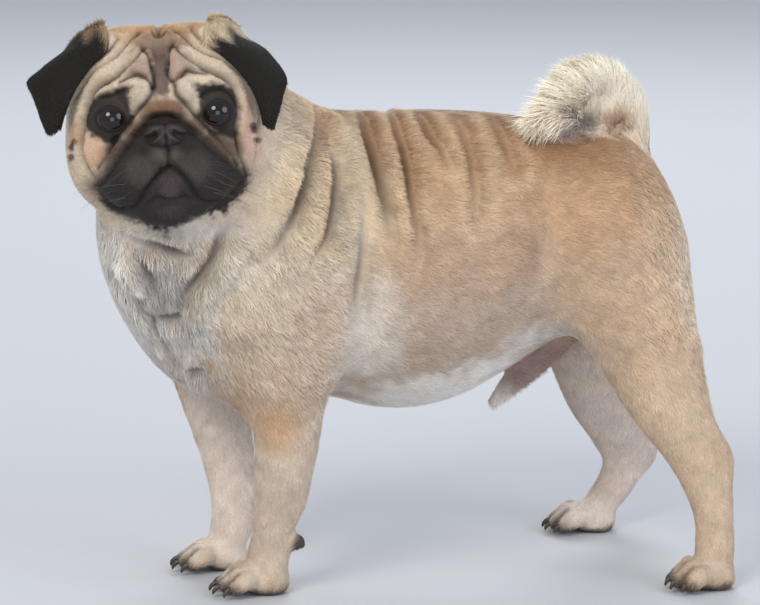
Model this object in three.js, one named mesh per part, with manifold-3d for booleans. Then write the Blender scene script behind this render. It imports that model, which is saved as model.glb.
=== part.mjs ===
// A fawn pug standing on four feet with its head turned to its left, as a still, life-size model.
// Millimetres, +Z up. The dog faces -X, its left side faces -Y, and its soles lie on Z = 0.
// The flesh is a set of round masses melted together. Each solid starts as a three.js sphere stretched
// along a bone line, whose vertices are pushed outwards until they leave the flesh. The body is then
// joined, parted into named nodes by thin cuts, and fitted with ears, eyes, nose, paws and tail.
import * as THREE from "three";
import { mergeVertices } from "three/addons/utils/BufferGeometryUtils.js";
import Module from "manifold-3d";

const wasm = await Module();
wasm.setup();

// Driving sizes
const GAP = 0.3;
const BACK_HEIGHT = 285;
const BELLY_HEIGHT = 103;
const CHEST_HALF_WIDTH = 82;
const HIP_HALF_WIDTH = 76;
const HEAD_HALF_WIDTH = 58;
const SKULL_HEIGHT = 59;
const EYE_RADIUS = 11.5;
const EYE_SPREAD = 30;
const CLAW_LENGTH = 8;
const SOLE_SINK = 1.2;
const EAR_THICKNESS = 3.8;

// Small helpers
const v = (x, y, z) => new THREE.Vector3(x, y, z);
const deg = THREE.MathUtils.degToRad;
const curveOf = (points) => new THREE.CatmullRomCurve3(points);
const bothSides = [-1, 1];

// An egg of flesh: the signed distance to an ellipsoid, turned by yaw about Z and pitch about Y.
function egg(centre, radii, yaw = 0, pitch = 0) {
  const turn = new THREE.Euler(0, deg(pitch), deg(yaw), "ZYX");
  const back = new THREE.Quaternion().setFromEuler(turn).invert();
  const q = v(0, 0, 0);
  return (p) => {
    q.copy(p).sub(centre).applyQuaternion(back);
    const near = Math.hypot(q.x / radii.x, q.y / radii.y, q.z / radii.z);
    const slope = Math.hypot(
      q.x / radii.x ** 2,
      q.y / radii.y ** 2,
      q.z / radii.z ** 2,
    );
    return slope < 1e-9 ? -radii.z : (near * (near - 1)) / slope;
  };
}

// A limb of flesh: a cone with round ends between two points.
function limb(from, to, fromRadius, toRadius) {
  const axis = to.clone().sub(from);
  const q = v(0, 0, 0);
  return (p) => {
    q.copy(p).sub(from);
    const t = THREE.MathUtils.clamp(q.dot(axis) / axis.lengthSq(), 0, 1);
    const away = q.addScaledVector(axis, -t).length();
    return away - THREE.MathUtils.lerp(fromRadius, toRadius, t);
  };
}

// A column of flesh through level rings, from the foot up: height, x, y, half length and half width.
function column(rings) {
  const heights = rings.map(([height]) => height);
  const values = rings.flatMap(([, ...rest]) => rest);
  const ring = new THREE.CubicInterpolant(heights, values, 4);
  return (p) => {
    const level = THREE.MathUtils.clamp(p.z, heights[0], heights.at(-1));
    const [x, y, long, wide] = ring.evaluate(level);
    const thin = Math.min(long, wide);
    const beyond = (p.z - level) / thin;
    return (Math.hypot((p.x - x) / long, (p.y - y) / wide, beyond) - 1) * thin;
  };
}
const columnLine = (rings) =>
  curveOf([...rings].reverse().map(([z, x, y]) => v(x, y, z)));

// Masses melted into one another, with a fillet about as wide as the softness.
function melt(softness, ...masses) {
  return (p) => {
    let d = masses[0](p);
    for (let i = 1; i < masses.length; i++) {
      const e = masses[i](p);
      const h = Math.max(softness - Math.abs(d - e), 0) / softness;
      d = Math.min(d, e) - h * h * softness * 0.25;
    }
    return d;
  };
}

// A fold of skin along a curve: a ridge, or a crease if its height is below 0. It fades at both ends.
function fold(points, height, width) {
  const line = curveOf(points).getPoints(points.length * 3);
  const box = new THREE.Box3().setFromPoints(line).expandByScalar(3 * width);
  const closest = v(0, 0, 0);
  const span = new THREE.Line3();
  return (p) => {
    if (!box.containsPoint(p)) return 0;
    let best = Infinity;
    let at = 0;
    for (let i = 1; i < line.length; i++) {
      span.set(line[i - 1], line[i]);
      const t = span.closestPointToPointParameter(p, true);
      const d = span.at(t, closest).distanceToSquared(p);
      if (d < best) {
        best = d;
        at = (i - 1 + t) / (line.length - 1);
      }
    }
    const fade = Math.sin(Math.PI * THREE.MathUtils.clamp(at, 0.04, 0.96));
    return height * Math.sqrt(fade) * Math.exp(-best / width ** 2);
  };
}
const folded = (mass, folds) => (p) => folds.reduce((d, f) => d - f(p), mass(p));

// How far a ray from inside the flesh runs before it is outside, or the reach if that comes first.
function depthAlong(flesh, from, ray, reach) {
  const step = 3;
  const p = v(0, 0, 0);
  const outside = (s) => flesh(p.copy(from).addScaledVector(ray, s)) > 0;
  let far = step;
  while (far < reach && !outside(far)) far += step;
  if (far >= reach) return reach;
  let near = far - step;
  for (let i = 0; i < 14; i++) {
    const middle = (near + far) / 2;
    if (outside(middle)) far = middle;
    else near = middle;
  }
  return near;
}

// Skins a mass of flesh with a sphere stretched along a bone line. The caps are the shares of its rows
// that fan out at the two ends. The side is where the rays of the first column point.
function wrap(flesh, bone, around, rows, options = {}) {
  const { caps = [0.25, 0.25], up = v(0, 0, 1), reach = 400 } = options;
  const geometry = new THREE.SphereGeometry(1, around, rows);
  const place = geometry.attributes.position;
  const n = v(0, 0, 0);
  for (let i = 0; i < place.count; i++) {
    n.fromBufferAttribute(place, i);
    const row = Math.acos(THREE.MathUtils.clamp(n.y, -1, 1)) / Math.PI;
    const turn = Math.atan2(n.z, n.x);
    const inner = (row - caps[0]) / (1 - caps[0] - caps[1]);
    const t = THREE.MathUtils.clamp(inner, 0, 1);
    const overStart = Math.max(0, 1 - row / caps[0]);
    const overEnd = Math.max(0, 1 - (1 - row) / caps[1]);
    const tilt = (overStart - overEnd) * (Math.PI / 2);
    const along = bone.getTangent(t).negate();
    const side = v(0, 0, 0).crossVectors(up, along).normalize();
    const over = v(0, 0, 0).crossVectors(along, side).normalize();
    const ray = side
      .multiplyScalar(Math.cos(turn) * Math.cos(tilt))
      .addScaledVector(over, Math.sin(turn) * Math.cos(tilt))
      .addScaledVector(along, Math.sin(tilt));
    const from = bone.getPoint(t);
    const out = from.addScaledVector(ray, depthAlong(flesh, from, ray, reach));
    place.setXYZ(i, out.x, out.y, out.z);
  }
  return geometry;
}

// A closed strand along a curve, pointed at both ends: for locks, claws, lids and the line of the mouth.
// Its half width and half depth are read off two lists of sizes, evenly spaced from root to tip.
function strand(points, widths, depths, flatSide, sides = 4, rows = 6) {
  const curve = curveOf(points);
  const geometry = new THREE.SphereGeometry(1, sides, rows);
  const place = geometry.attributes.position;
  const n = v(0, 0, 0);
  const read = (sizes, t) => {
    const at = Math.min(t * (sizes.length - 1), sizes.length - 1.0001);
    const i = Math.floor(at);
    return THREE.MathUtils.lerp(sizes[i], sizes[i + 1], at - i);
  };
  for (let i = 0; i < place.count; i++) {
    n.fromBufferAttribute(place, i);
    const row = Math.acos(THREE.MathUtils.clamp(n.y, -1, 1)) / Math.PI;
    const turn = Math.atan2(n.z, n.x);
    const along = curve.getTangent(row);
    const side = v(0, 0, 0).crossVectors(flatSide, along).normalize();
    const over = v(0, 0, 0).crossVectors(along, side).normalize();
    const closed = row < 1e-6 || row > 1 - 1e-6 ? 0 : 1;
    const out = curve
      .getPoint(row)
      .addScaledVector(side, closed * read(widths, row) * Math.cos(turn))
      .addScaledVector(over, closed * read(depths, row) * Math.sin(turn));
    place.setXYZ(i, out.x, out.y, out.z);
  }
  return geometry;
}

// A three.js geometry as a manifold solid that faces outwards.
function solid(geometry) {
  const bare = geometry.clone();
  bare.deleteAttribute("normal");
  bare.deleteAttribute("uv");
  const merged = mergeVertices(bare, 1e-3);
  const corners = merged.index.array;
  const faces = [];
  for (let f = 0; f < corners.length; f += 3) {
    const [a, b, c] = corners.slice(f, f + 3);
    if (a !== b && b !== c && c !== a) faces.push([a, b, c]);
  }
  const build = (triangles) =>
    new wasm.Manifold(
      new wasm.Mesh({
        numProp: 3,
        vertProperties: new Float32Array(merged.attributes.position.array),
        triVerts: Uint32Array.from(triangles.flat()),
      }),
    );
  const made = build(faces);
  if (made.volume() > 0) return made;
  return build(faces.map(([a, b, c]) => [a, c, b]));
}

function geometryOf(body) {
  const mesh = body.getMesh();
  const place = new Float32Array(mesh.numVert * 3);
  for (let i = 0; i < mesh.numVert; i++) {
    const from = mesh.numProp * i;
    place.set(mesh.vertProperties.subarray(from, from + 3), 3 * i);
  }
  return new THREE.BufferGeometry()
    .setAttribute("position", new THREE.BufferAttribute(place, 3))
    .setIndex(new THREE.BufferAttribute(mesh.triVerts, 1));
}

const join = (first, ...others) => others.reduce((body, b) => body.add(b), first);
const cut = (first, ...others) => others.reduce((body, b) => body.subtract(b), first);
const bySize = (body) => body.decompose().sort((a, b) => b.volume() - a.volume());
const largest = (body) => bySize(body)[0];
const centreOf = (body) => {
  const { min, max } = body.boundingBox();
  return v(...min).add(v(...max)).multiplyScalar(0.5);
};

// A thin cutting slab whose flat faces look along the normal.
function slab(centre, normal, long, wide = long) {
  const box = new THREE.BoxGeometry(long, wide, GAP);
  const turn = new THREE.Quaternion().setFromUnitVectors(
    v(0, 0, 1),
    normal.clone().normalize(),
  );
  box.applyQuaternion(turn);
  box.translate(centre.x, centre.y, centre.z);
  return solid(box);
}

// Trunk, with the shoulders and buttocks as soft swellings and the folds of loose skin as rolls
const trunkMiddle = (BACK_HEIGHT + BELLY_HEIGHT) / 2;
const trunkHalf = (BACK_HEIGHT - BELLY_HEIGHT) / 2;
const FORE_YAW = 12;
const trunkMasses = [
  egg(v(-39, 0, trunkMiddle), v(98, CHEST_HALF_WIDTH, trunkHalf)),
  egg(v(24, 0, 209), v(84, HIP_HALF_WIDTH - 4, 71)),
  egg(v(-134, -8, 188), v(76, CHEST_HALF_WIDTH - 8, 76), FORE_YAW),
  egg(v(80, 0, 218), v(48, HIP_HALF_WIDTH - 10, 52), 0, 16),
  ...bothSides.map((side) =>
    egg(v(90, side * 38, 190), v(42, 34, 50), side * -6, -14),
  ),
  ...bothSides.map((side) =>
    egg(v(-116 + side * 8, side * 46 - 5, 178), v(38, 34, 66), FORE_YAW, 8),
  ),
  limb(v(-108, -3, 227), v(-165, -22, 264), 63, 63),
  egg(v(-172, -26, 214), v(50, 52, 52), FORE_YAW),
];
const trunkFolds = [
  [[-112, -34, 302], [-106, -62, 286], [-102, -76, 262], [-106, -82, 236], [-120, -84, 212], [-148, -82, 192], 6, 9],
  [[-104, -32, 298], [-95, -58, 288], [-91, -72, 266], [-94, -80, 240], [-106, -82, 214], [-130, -80, 190], -5, 6],
  [[-88, -28, 294], [-80, -56, 282], [-75, -74, 262], [-74, -82, 238], [-79, -86, 212], [-92, -84, 172], 5, 9],
  [[-78, -24, 291], [-69, -56, 281], [-64, -76, 262], [-63, -84, 236], [-68, -86, 206], [-80, -84, 166], -4, 5],
  [[-52, -18, 287], [-50, -58, 275], [-48, -78, 250], [-50, -84, 212], -2.2, 5],
  [[-110, 34, 300], [-104, 60, 284], [-102, 74, 260], [-110, 78, 232], [-126, 78, 204], 6, 9],
  [[-100, 34, 296], [-92, 58, 284], [-90, 74, 260], [-98, 78, 230], [-112, 80, 200], -5, 6],
  [[-86, 30, 293], [-78, 56, 281], [-75, 74, 260], [-80, 82, 226], [-92, 82, 180], 4, 9],
  [[-228, -38, 232], [-222, -52, 214], [-208, -62, 200], [-204, -64, 182], 4, 8],
].map(([...row]) => {
  const [height, width] = row.slice(-2);
  return fold(row.slice(0, -2).map((p) => v(...p)), height, width);
});
const trunkFlesh = folded(melt(26, ...trunkMasses), trunkFolds);
const trunkLine = curveOf([
  v(-150, -12, 208),
  v(-110, -4, 202),
  v(-50, 0, 195),
  v(20, 0, 200),
  v(84, 0, 206),
]);
const skinOfTrunk = (flesh) => solid(wrap(flesh, trunkLine, 36, 37, { caps: [0.26, 0.18] }));

// The sheath under the belly
const sheath = solid(
  strand(
    [v(76, 0, 156), v(54, 0, 136), v(36, 0, 119), v(19, 0, 101)],
    [7, 9, 9, 8.5, 7, 3],
    [12, 16, 14, 11, 8, 3],
    v(0, 1, 0),
    10,
    8,
  ),
);

// Legs as columns of level rings: height, x, y, half length and half width
const legs = {
  foreleg_left: {
    rings: [
      [12, -126, -32, 14, 14],
      [24, -125, -33, 14.5, 13],
      [40, -123, -39, 14, 12.5],
      [54, -120, -43, 16.5, 14],
      [72, -119, -49, 18.4, 16],
      [92, -118, -54, 20.5, 17.5],
      [112, -118, -58, 23, 19.5],
      [134, -118, -60, 27, 22],
      [155, -116, -57, 30, 23],
      [190, -112, -44, 16, 12],
    ],
    paw: { at: v(-135, -31, 0), yaw: 3, length: 1, width: 1 },
    parting: { at: v(-118, -56, 112), normal: v(0.02, 0.28, 1), size: 72 },
    padAt: v(-108, -42, 36),
  },
  foreleg_right: {
    rings: [
      [12, -141, 31, 14, 14],
      [24, -137, 33, 14.5, 13],
      [40, -136, 37, 14, 12.5],
      [60, -137.5, 44, 15.5, 14],
      [80, -141, 49, 18, 16],
      [100, -145, 53, 20.5, 18],
      [122, -148, 54, 24, 21],
      [146, -143, 52, 29, 23],
      [182, -134, 42, 16, 12],
    ],
    paw: { at: v(-149, 30, 0), yaw: -3, length: 1, width: 1 },
    parting: { at: v(-146, 52, 110), normal: v(0.02, -0.28, 1), size: 72 },
    padAt: v(-123, 40, 35),
  },
  hindleg_left: {
    rings: [
      [12, 138, -77, 13, 12.5],
      [22, 139, -76.5, 13, 12.5],
      [40, 139, -75, 12.8, 12],
      [60, 135.5, -73, 16.5, 12],
      [80, 130, -70, 23, 14.5],
      [100, 117, -67, 26, 18.5],
      [125, 106, -62, 31.5, 22.5],
      [150, 98, -56, 37.5, 26],
      [176, 92, -49, 37, 26],
      [214, 84, -34, 18, 14],
    ],
    paw: { at: v(131, -77, 0), yaw: 4, length: 0.88, width: 0.94 },
    parting: { at: v(102, -57, 136), normal: v(0.1, -0.08, 1), size: 90 },
  },
  hindleg_right: {
    rings: [
      [12, 106, 77, 15, 12.5],
      [20, 113, 76.5, 15, 12.5],
      [32, 121, 75.5, 15, 12],
      [46, 128, 74, 19, 12],
      [60, 124, 72, 23, 14.5],
      [80, 113, 68, 26, 18.5],
      [108, 104, 62, 31, 22.5],
      [138, 97, 56, 37.5, 26],
      [170, 90, 49, 37, 26],
      [212, 82, 34, 18, 14],
    ],
    paw: { at: v(97, 77, 0), yaw: -4, length: 0.96, width: 0.94 },
    parting: { at: v(98, 57, 136), normal: v(0.1, 0.08, 1), size: 90 },
  },
};
const PAW_CUT_HEIGHT = 25;


const ROOT_SINK = 1.6;
function legSolid({ rings, padAt }) {
  const flesh = melt(14, (p) => trunkFlesh(p) + ROOT_SINK, column(rings));
  const options = { caps: [0.14, 0.12], up: v(1, 0, 0), reach: 46 };
  const shaft = solid(wrap(flesh, columnLine(rings), 14, 18, options));
  if (!padAt) return shaft;
  const pad = new THREE.SphereGeometry(1, 8, 6).scale(7, 5.5, 7.5);
  return join(shaft, solid(pad.translate(padAt.x, padAt.y, padAt.z)));
}

// Paw: a round foot with a heel pad, four toes and four claws. Forwards is -X until it is turned.
function pawSolid({ at, yaw, length, width }) {
  const foot = melt(
    6,
    egg(v(4, 0, 11), v(18, 15, 12)),
    egg(v(13, 0, 5), v(11, 13, 8)),
  );
  const footLine = curveOf([v(-4, 0, 9), v(4, 0, 9), v(12, 0, 8)]);
  const pieces = [solid(wrap(foot, footLine, 10, 7))];
  for (const toe of [-1.5, -0.5, 0.5, 1.5]) {
    const aside = toe * 9;
    const front = Math.abs(toe) > 1 ? -12 : -16.5;
    const knuckle = v(front + 9, aside * 0.92, 11);
    const tip = v(front, aside, 6.4);
    const line = curveOf([knuckle, tip]);
    pieces.push(solid(wrap(limb(knuckle, tip, 7.2, 5.8), line, 7, 5)));
    const claw = [
      v(front + 1, aside, 8.5),
      v(front - 4.5, aside * 1.03, 8.6),
      v(front - CLAW_LENGTH, aside * 1.06, 5.8),
      v(front - 1.15 * CLAW_LENGTH, aside * 1.08, 2),
    ];
    pieces.push(solid(strand(claw, [1.5, 2.2, 1.8, 0.8], [1.5, 2.5, 2, 0.8], v(0, 1, 0), 4, 4)));
  }
  const pose = new THREE.Matrix4()
    .makeRotationZ(deg(yaw))
    .scale(v(length, width, 1))
    .setPosition(at.x, at.y, at.z - SOLE_SINK);
  return largest(join(...pieces)).transform(pose.elements);
}

// Head, in a frame of its own: +X is the dog's left, -Y is forwards and +Z is up.
const headPose = new THREE.Matrix4()
  .makeRotationFromEuler(new THREE.Euler(deg(-6.7), deg(-3), deg(-8.6), "ZXY"))
  .setPosition(-187, -50, 286);
const mirrored = (make) => bothSides.map(make);
const headMasses = melt(
  9,
  egg(v(0, 5, 6), v(HEAD_HALF_WIDTH - 3, 56, SKULL_HEIGHT - 8)),
  ...mirrored((s) => egg(v(s * 22, 4, 22), v(33, 44, SKULL_HEIGHT - 23))),
  ...mirrored((s) => egg(v(s * 33, -6, -14), v(HEAD_HALF_WIDTH - 33, 36, 34))),
  egg(v(0, -34, -26), v(38, 22, 21)),
  ...mirrored((s) => egg(v(s * 18, -41, -28), v(20, 18, 18))),
  egg(v(0, -36, -46), v(21, 18, 12)),
  egg(v(0, 2, -36), v(42, 42, 22)),
);
const headBulges = melt(
  4,
  headMasses,
  ...mirrored((s) => egg(v(s * 13.5, -42, 18), v(9, 8.5, 8.5))),
  ...mirrored((s) => egg(v(s * 10.5, -37, 34), v(8, 8, 11))),
  egg(v(0, -42, 8), v(12, 10, 11)),
  egg(v(0, -47, -6), v(12, 11, 8)),
);
const facePoint = (x, z) => {
  const from = v(x, -12, z);
  return from.addScaledVector(v(0, -1, 0), depthAlong(headBulges, from, v(0, -1, 0), 90));
};
const faceLine = (side, places) => places.map(([x, z]) => facePoint(side * x, z));
const faceFolds = mirrored((s) => [
  fold(faceLine(s, [[0, 5], [10, 2], [20, -10], [30, -22], [37, -33]]), 3, 4),
  fold(faceLine(s, [[13, 46], [24, 40], [38, 28], [47, 10], [46, -10], [38, -30]]), 2.6, 5),
  fold(faceLine(s, [[10, 48], [20, 33], [34, 24], [41, 12], [41, -8]]), -2.2, 3.5),
  fold(faceLine(s, [[13, 9], [20, 17], [18, 27], [15, 36]]), -1.6, 3),
]).flat();
const thumbMark = fold(faceLine(1, [[-1, 46], [-1, 34], [-1, 24], [0, 15]]), -3, 4);
const headFlesh = folded(headBulges, [...faceFolds, thumbMark]);
const headLine = curveOf([v(0, -14, -4), v(0, 0, 0), v(0, 12, 4)]);
const skinOfHead = (flesh) => {
  const skin = wrap(flesh, headLine, 44, 28, { caps: [0.68, 0.22] });
  return solid(skin.applyMatrix4(headPose));
};
const inHead = (geometry) => solid(geometry.applyMatrix4(headPose));

// Eyes in sockets, each with an upper and a lower lid
const eyeAt = (side) => v(side * EYE_SPREAD, -36.5, 5.5);
const eyeBall = (side, radius) =>
  inHead(new THREE.SphereGeometry(radius, 14, 9).translate(...eyeAt(side).toArray()));
function lidSolid(side, up) {
  const opening = up > 0 ? 8.2 : 7.2;
  const points = [-1, -0.72, -0.3, 0.15, 0.6, 1].map((t) => {
    const x = t * 10.4;
    const z = up * opening * Math.sqrt(1 - t * t) - 0.8 * t * side;
    const y = -Math.sqrt(Math.max(0, (EYE_RADIUS + 0.6) ** 2 - x * x - z * z));
    return eyeAt(side).add(v(x, y, z));
  });
  const outwards = v(0, -1, 0);
  return inHead(strand(points, [1, 2.4, 2.8, 2.4, 1], [1, 1.8, 2, 1.8, 1], outwards, 6, 9));
}

// Nose leather with its nostrils, set into the head
const noseFlesh = melt(
  3,
  egg(v(0, -52, -3.5), v(11.5, 9, 5.5)),
  egg(v(0, -53, -8), v(7, 7, 4)),
);
const noseLine = curveOf([v(0, -54, -5), v(0, -52, -5), v(0, -50, -5)]);
const skinOfNose = (flesh) => inHead(wrap(flesh, noseLine, 16, 10, { caps: [0.45, 0.45] }));
const nostrils = mirrored((s) =>
  inHead(
    strand(
      [v(s * 4, -63, -3), v(s * 5.6, -59, -4.4), v(s * 9, -57, -7), v(s * 13, -56, -9)],
      [1.4, 2.2, 1.4, 0.7],
      [1.2, 1.9, 1.1, 0.6],
      v(0, -1, 0),
      6,
      6,
    ),
  ),
);

// The line of the mouth: down from the nose, and out under both lips to the corners
const mouthLines = mirrored((s) => {
  const places = [[0, -15], [2, -21], [9, -30], [15, -38.5], [24, -42], [34, -39], [42, -31]];
  return inHead(strand(faceLine(s, places), [1, 1, 1.2, 1.2, 1], [1.6, 1.6, 2, 2, 1.6], v(0, -1, 0), 4, 12));
});

// Ears: folded leaves. Each is a thin box bent through three rows of points: root, fold and flap end.
const earShapes = {
  ear_right: {
    root: [v(-27, -22, 44), v(-38, -8, 44), v(-45, 10, 36)],
    crest: [v(-30, -27, 60), v(-42, -14, 55), v(-54, 4, 45)],
    flap: [v(-46, -33, 30), v(-62, -26, 27), v(-72, -8, 30)],
    end: [v(-58, -30, 4), v(-65, -27, -1), v(-77, -18, 25)],
  },
  ear_left: {
    root: [v(27, -22, 44), v(38, -8, 44), v(45, 10, 36)],
    crest: [v(30, -27, 60), v(43, -14, 56), v(55, 4, 44)],
    flap: [v(44, -34, 28), v(59, -26, 22), v(68, -8, 26)],
    end: [v(55, -31, -1), v(60, -28, -5), v(72, -18, 18)],
  },
};
function earSolid({ root, crest, flap, end }) {
  const geometry = new THREE.BoxGeometry(1, 1, 1, 6, 8, 1);
  const place = geometry.attributes.position;
  const rows = [root, crest, flap, end].map((points) => curveOf(points));
  const onSheet = (a, b) => curveOf(rows.map((row) => row.getPoint(a))).getPoint(b);
  const clamp = THREE.MathUtils.clamp;
  for (let i = 0; i < place.count; i++) {
    const a = place.getX(i) + 0.5;
    const b = place.getY(i) + 0.5;
    const e = 0.02;
    const alongA = onSheet(clamp(a + e, 0, 1), b).sub(onSheet(clamp(a - e, 0, 1), b));
    const alongB = onSheet(a, clamp(b + e, 0, 1)).sub(onSheet(a, clamp(b - e, 0, 1)));
    const normal = alongA.cross(alongB).normalize();
    const rim = 1 - 0.55 * Math.max(Math.abs(2 * a - 1), 2 * b - 1) ** 4;
    const out = onSheet(a, b).addScaledVector(normal, place.getZ(i) * EAR_THICKNESS * rim);
    place.setXYZ(i, out.x, out.y, out.z);
  }
  return inHead(geometry);
}

// Tail: a tight curl over the back, carried to the left, with locks that stream off its outer side
const tailCore = solid(
  strand(
    [
      v(108, 0, 232),
      v(107, -2, 260),
      v(100, -8, 283),
      v(84, -17, 297),
      v(65, -27, 295),
      v(50, -34, 287),
      v(38, -37, 281),
    ],
    [10, 12, 13, 13.5, 14, 15, 15, 14, 11, 7, 3],
    [10, 11.5, 12, 13, 14, 15, 15, 14, 11, 7, 3],
    v(0, 1, 0),
    11,
    15,
  ),
);
const tailInner = solid(
  strand(
    [v(48, -36, 288), v(54, -39, 277), v(66, -40, 272), v(80, -37, 276)],
    [4, 9, 9, 8, 6, 3],
    [4, 9, 9, 8, 6, 3],
    v(0, 1, 0),
    8,
    8,
  ),
);
const tailLocks = [];
const LOCK_COUNT = 20;
const tailLine = curveOf([
  v(107, -2, 260),
  v(100, -8, 283),
  v(84, -17, 297),
  v(65, -27, 295),
  v(50, -34, 287),
  v(40, -36, 282),
]);
for (let i = 0; i < LOCK_COUNT; i++) {
  const t = 0.06 + (0.9 * i) / (LOCK_COUNT - 1);
  const along = tailLine.getTangent(t);
  const outer = v(0, 0, 0).crossVectors(v(0, 1, 0), along).normalize();
  if (outer.z < 0 && t > 0.3) outer.negate();
  const turn = deg([-62, 8, 48, -24][i % 4]);
  const away = outer.clone().applyAxisAngle(along, turn);
  const length = 17 + 6 * Math.sin(i * 2.4);
  const root = tailLine.getPoint(t).addScaledVector(away, 7);
  const points = [0, 0.34, 0.68, 1].map((s) =>
    root
      .clone()
      .addScaledVector(along, s * length)
      .addScaledVector(away, (4 + 5 * t) * Math.sin(s * 1.9)),
  );
  tailLocks.push(solid(strand(points, [3, 6, 5, 1], [1.5, 2.6, 2, 0.6], away, 4, 4)));
}

// Joining and parting
const trunk = skinOfTrunk(trunkFlesh);
const trunkRoom = skinOfTrunk((p) => trunkFlesh(p) - GAP);
const headSkin = skinOfHead(headFlesh);
const headRoom = skinOfHead((p) => headFlesh(p) - GAP);
const pawRoom = 60;
const legParts = Object.entries(legs).map(([name, leg]) => ({
  name,
  leg,
  body: join(legSolid(leg), pawSolid(leg.paw)),
}));
const underFloor = solid(new THREE.BoxGeometry(900, 600, 40).translate(0, 0, -20));
const body = join(trunk, sheath, ...legParts.map((part) => part.body));
const neckSlab = slab(v(-151, -8, 241), v(-0.68, -0.1, 0.73), 300);
const slabs = Object.values(legs).flatMap(({ rings, parting }) => {
  const [, x, y] = rings[1];
  return [
    slab(parting.at, parting.normal, parting.size),
    slab(v(x, y, PAW_CUT_HEIGHT), v(0, 0, 1), pawRoom, pawRoom * 0.7),
  ];
});
const parted = bySize(cut(body, underFloor, neckSlab, ...slabs));
const nodes = {};
const pickAt = (place) => {
  const near = (piece) => centreOf(piece).distanceTo(place);
  return parted.slice(0, 10).sort((a, b) => near(a) - near(b))[0];
};
nodes.torso = parted[0];
nodes.neck = largest(cut(pickAt(v(-170, -20, 250)), headRoom));
for (const { name, leg } of legParts) {
  const middle = leg.rings[Math.floor(leg.rings.length / 2) - 1];
  nodes[name] = pickAt(v(middle[1], middle[2], middle[0]));
  nodes[name.replace("leg", "paw")] = pickAt(leg.paw.at);
}
const lids = bothSides.flatMap((side) => [lidSolid(side, 1), lidSolid(side, -1)]);
const sockets = bothSides.map((side) => eyeBall(side, EYE_RADIUS + GAP));
nodes.head = largest(
  cut(join(headSkin, ...lids), ...sockets, skinOfNose((p) => noseFlesh(p) - GAP), ...mouthLines),
);
nodes.nose = largest(cut(skinOfNose(noseFlesh), ...nostrils));
nodes.eye_right = eyeBall(-1, EYE_RADIUS);
nodes.eye_left = eyeBall(1, EYE_RADIUS);
for (const [name, shape] of Object.entries(earShapes)) {
  nodes[name] = largest(cut(earSolid(shape), headRoom, trunkRoom));
}
nodes.tail = largest(cut(join(tailCore, tailInner, ...tailLocks), trunkRoom));

// The group, with the middle of its footprint at the origin
const looks = {
  fawn: { color: "#c9a780", roughness: 0.92 },
  cream: { color: "#ddd0bd", roughness: 0.94 },
  black: { color: "#231f1e", roughness: 0.85 },
  nose: { color: "#141213", roughness: 0.4 },
  eye: { color: "#120c0a", roughness: 0.08 },
};
const lookOf = (name) => {
  if (name.startsWith("eye")) return "eye";
  if (name.startsWith("ear")) return "black";
  if (name === "tail") return "cream";
  return name === "nose" ? "nose" : "fawn";
};
const group = new THREE.Group();
group.name = "pug";
const bounds = new THREE.Box3();
for (const [name, part] of Object.entries(nodes)) {
  const look = lookOf(name);
  const mesh = new THREE.Mesh(
    geometryOf(part),
    new THREE.MeshStandardMaterial({ name: look, ...looks[look] }),
  );
  mesh.name = name;
  group.add(mesh);
  bounds.expandByObject(mesh);
}
const middle = bounds.getCenter(v(0, 0, 0));
for (const mesh of group.children) {
  mesh.geometry.translate(-middle.x, -middle.y, 0);
}

export default group;
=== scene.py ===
# A fawn pug with a black mask, life-size and still, as a museum would show it. The skin is modelled first,
# then the eyes, nose, ears and claws are set into it, and the coat is laid over it, tuft by tuft, along the
# way the hair lies.
import math

import bmesh
import bpy
import numpy as np
from mathutils import Matrix, Vector
from mathutils.bvhtree import BVHTree


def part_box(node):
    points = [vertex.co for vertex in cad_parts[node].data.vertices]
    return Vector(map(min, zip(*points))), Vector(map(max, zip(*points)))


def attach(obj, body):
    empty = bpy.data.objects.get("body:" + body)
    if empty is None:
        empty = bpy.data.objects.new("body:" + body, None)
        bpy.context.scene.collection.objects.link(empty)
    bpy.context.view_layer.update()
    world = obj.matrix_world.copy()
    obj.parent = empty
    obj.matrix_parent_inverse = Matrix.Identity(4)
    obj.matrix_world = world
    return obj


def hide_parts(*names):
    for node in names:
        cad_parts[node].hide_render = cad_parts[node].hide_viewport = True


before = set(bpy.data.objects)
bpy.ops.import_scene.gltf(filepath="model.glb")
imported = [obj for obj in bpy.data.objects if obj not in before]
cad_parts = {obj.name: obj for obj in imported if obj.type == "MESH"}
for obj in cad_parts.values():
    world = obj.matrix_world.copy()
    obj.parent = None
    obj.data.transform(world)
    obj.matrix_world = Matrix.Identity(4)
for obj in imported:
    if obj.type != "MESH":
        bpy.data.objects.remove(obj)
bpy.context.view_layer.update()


# The studio: a pale seamless floor, a large soft light over the camera's left shoulder, a fill from the
# right, a low light in front and one from behind, and a long lens a little above the dog's back.
def linear(hex_colour):
    parts = [int(hex_colour[i : i + 2], 16) / 255 for i in (1, 3, 5)]
    return [c / 12.92 if c <= 0.04045 else ((c + 0.055) / 1.055) ** 2.4 for c in parts]


def add_node(tree, kind, inputs=(), **settings):
    made = tree.nodes.new(kind)
    for name, value in settings.items():
        setattr(made, name, value)
    for socket, value in dict(inputs).items():
        if isinstance(value, bpy.types.NodeSocket):
            tree.links.new(value, made.inputs[socket])
        else:
            made.inputs[socket].default_value = value
    return made


def new_material(name):
    """A material, its node tree, its shader, and the object coordinates that its patterns lie on."""
    material = bpy.data.materials.new(name)
    material.use_nodes = True
    tree = material.node_tree
    tree.nodes.clear()
    shader = add_node(tree, "ShaderNodeBsdfPrincipled")
    add_node(tree, "ShaderNodeOutputMaterial", {"Surface": shader.outputs[0]})
    place = add_node(tree, "ShaderNodeTexCoord").outputs["Object"]
    return material, tree, shader, place


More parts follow.
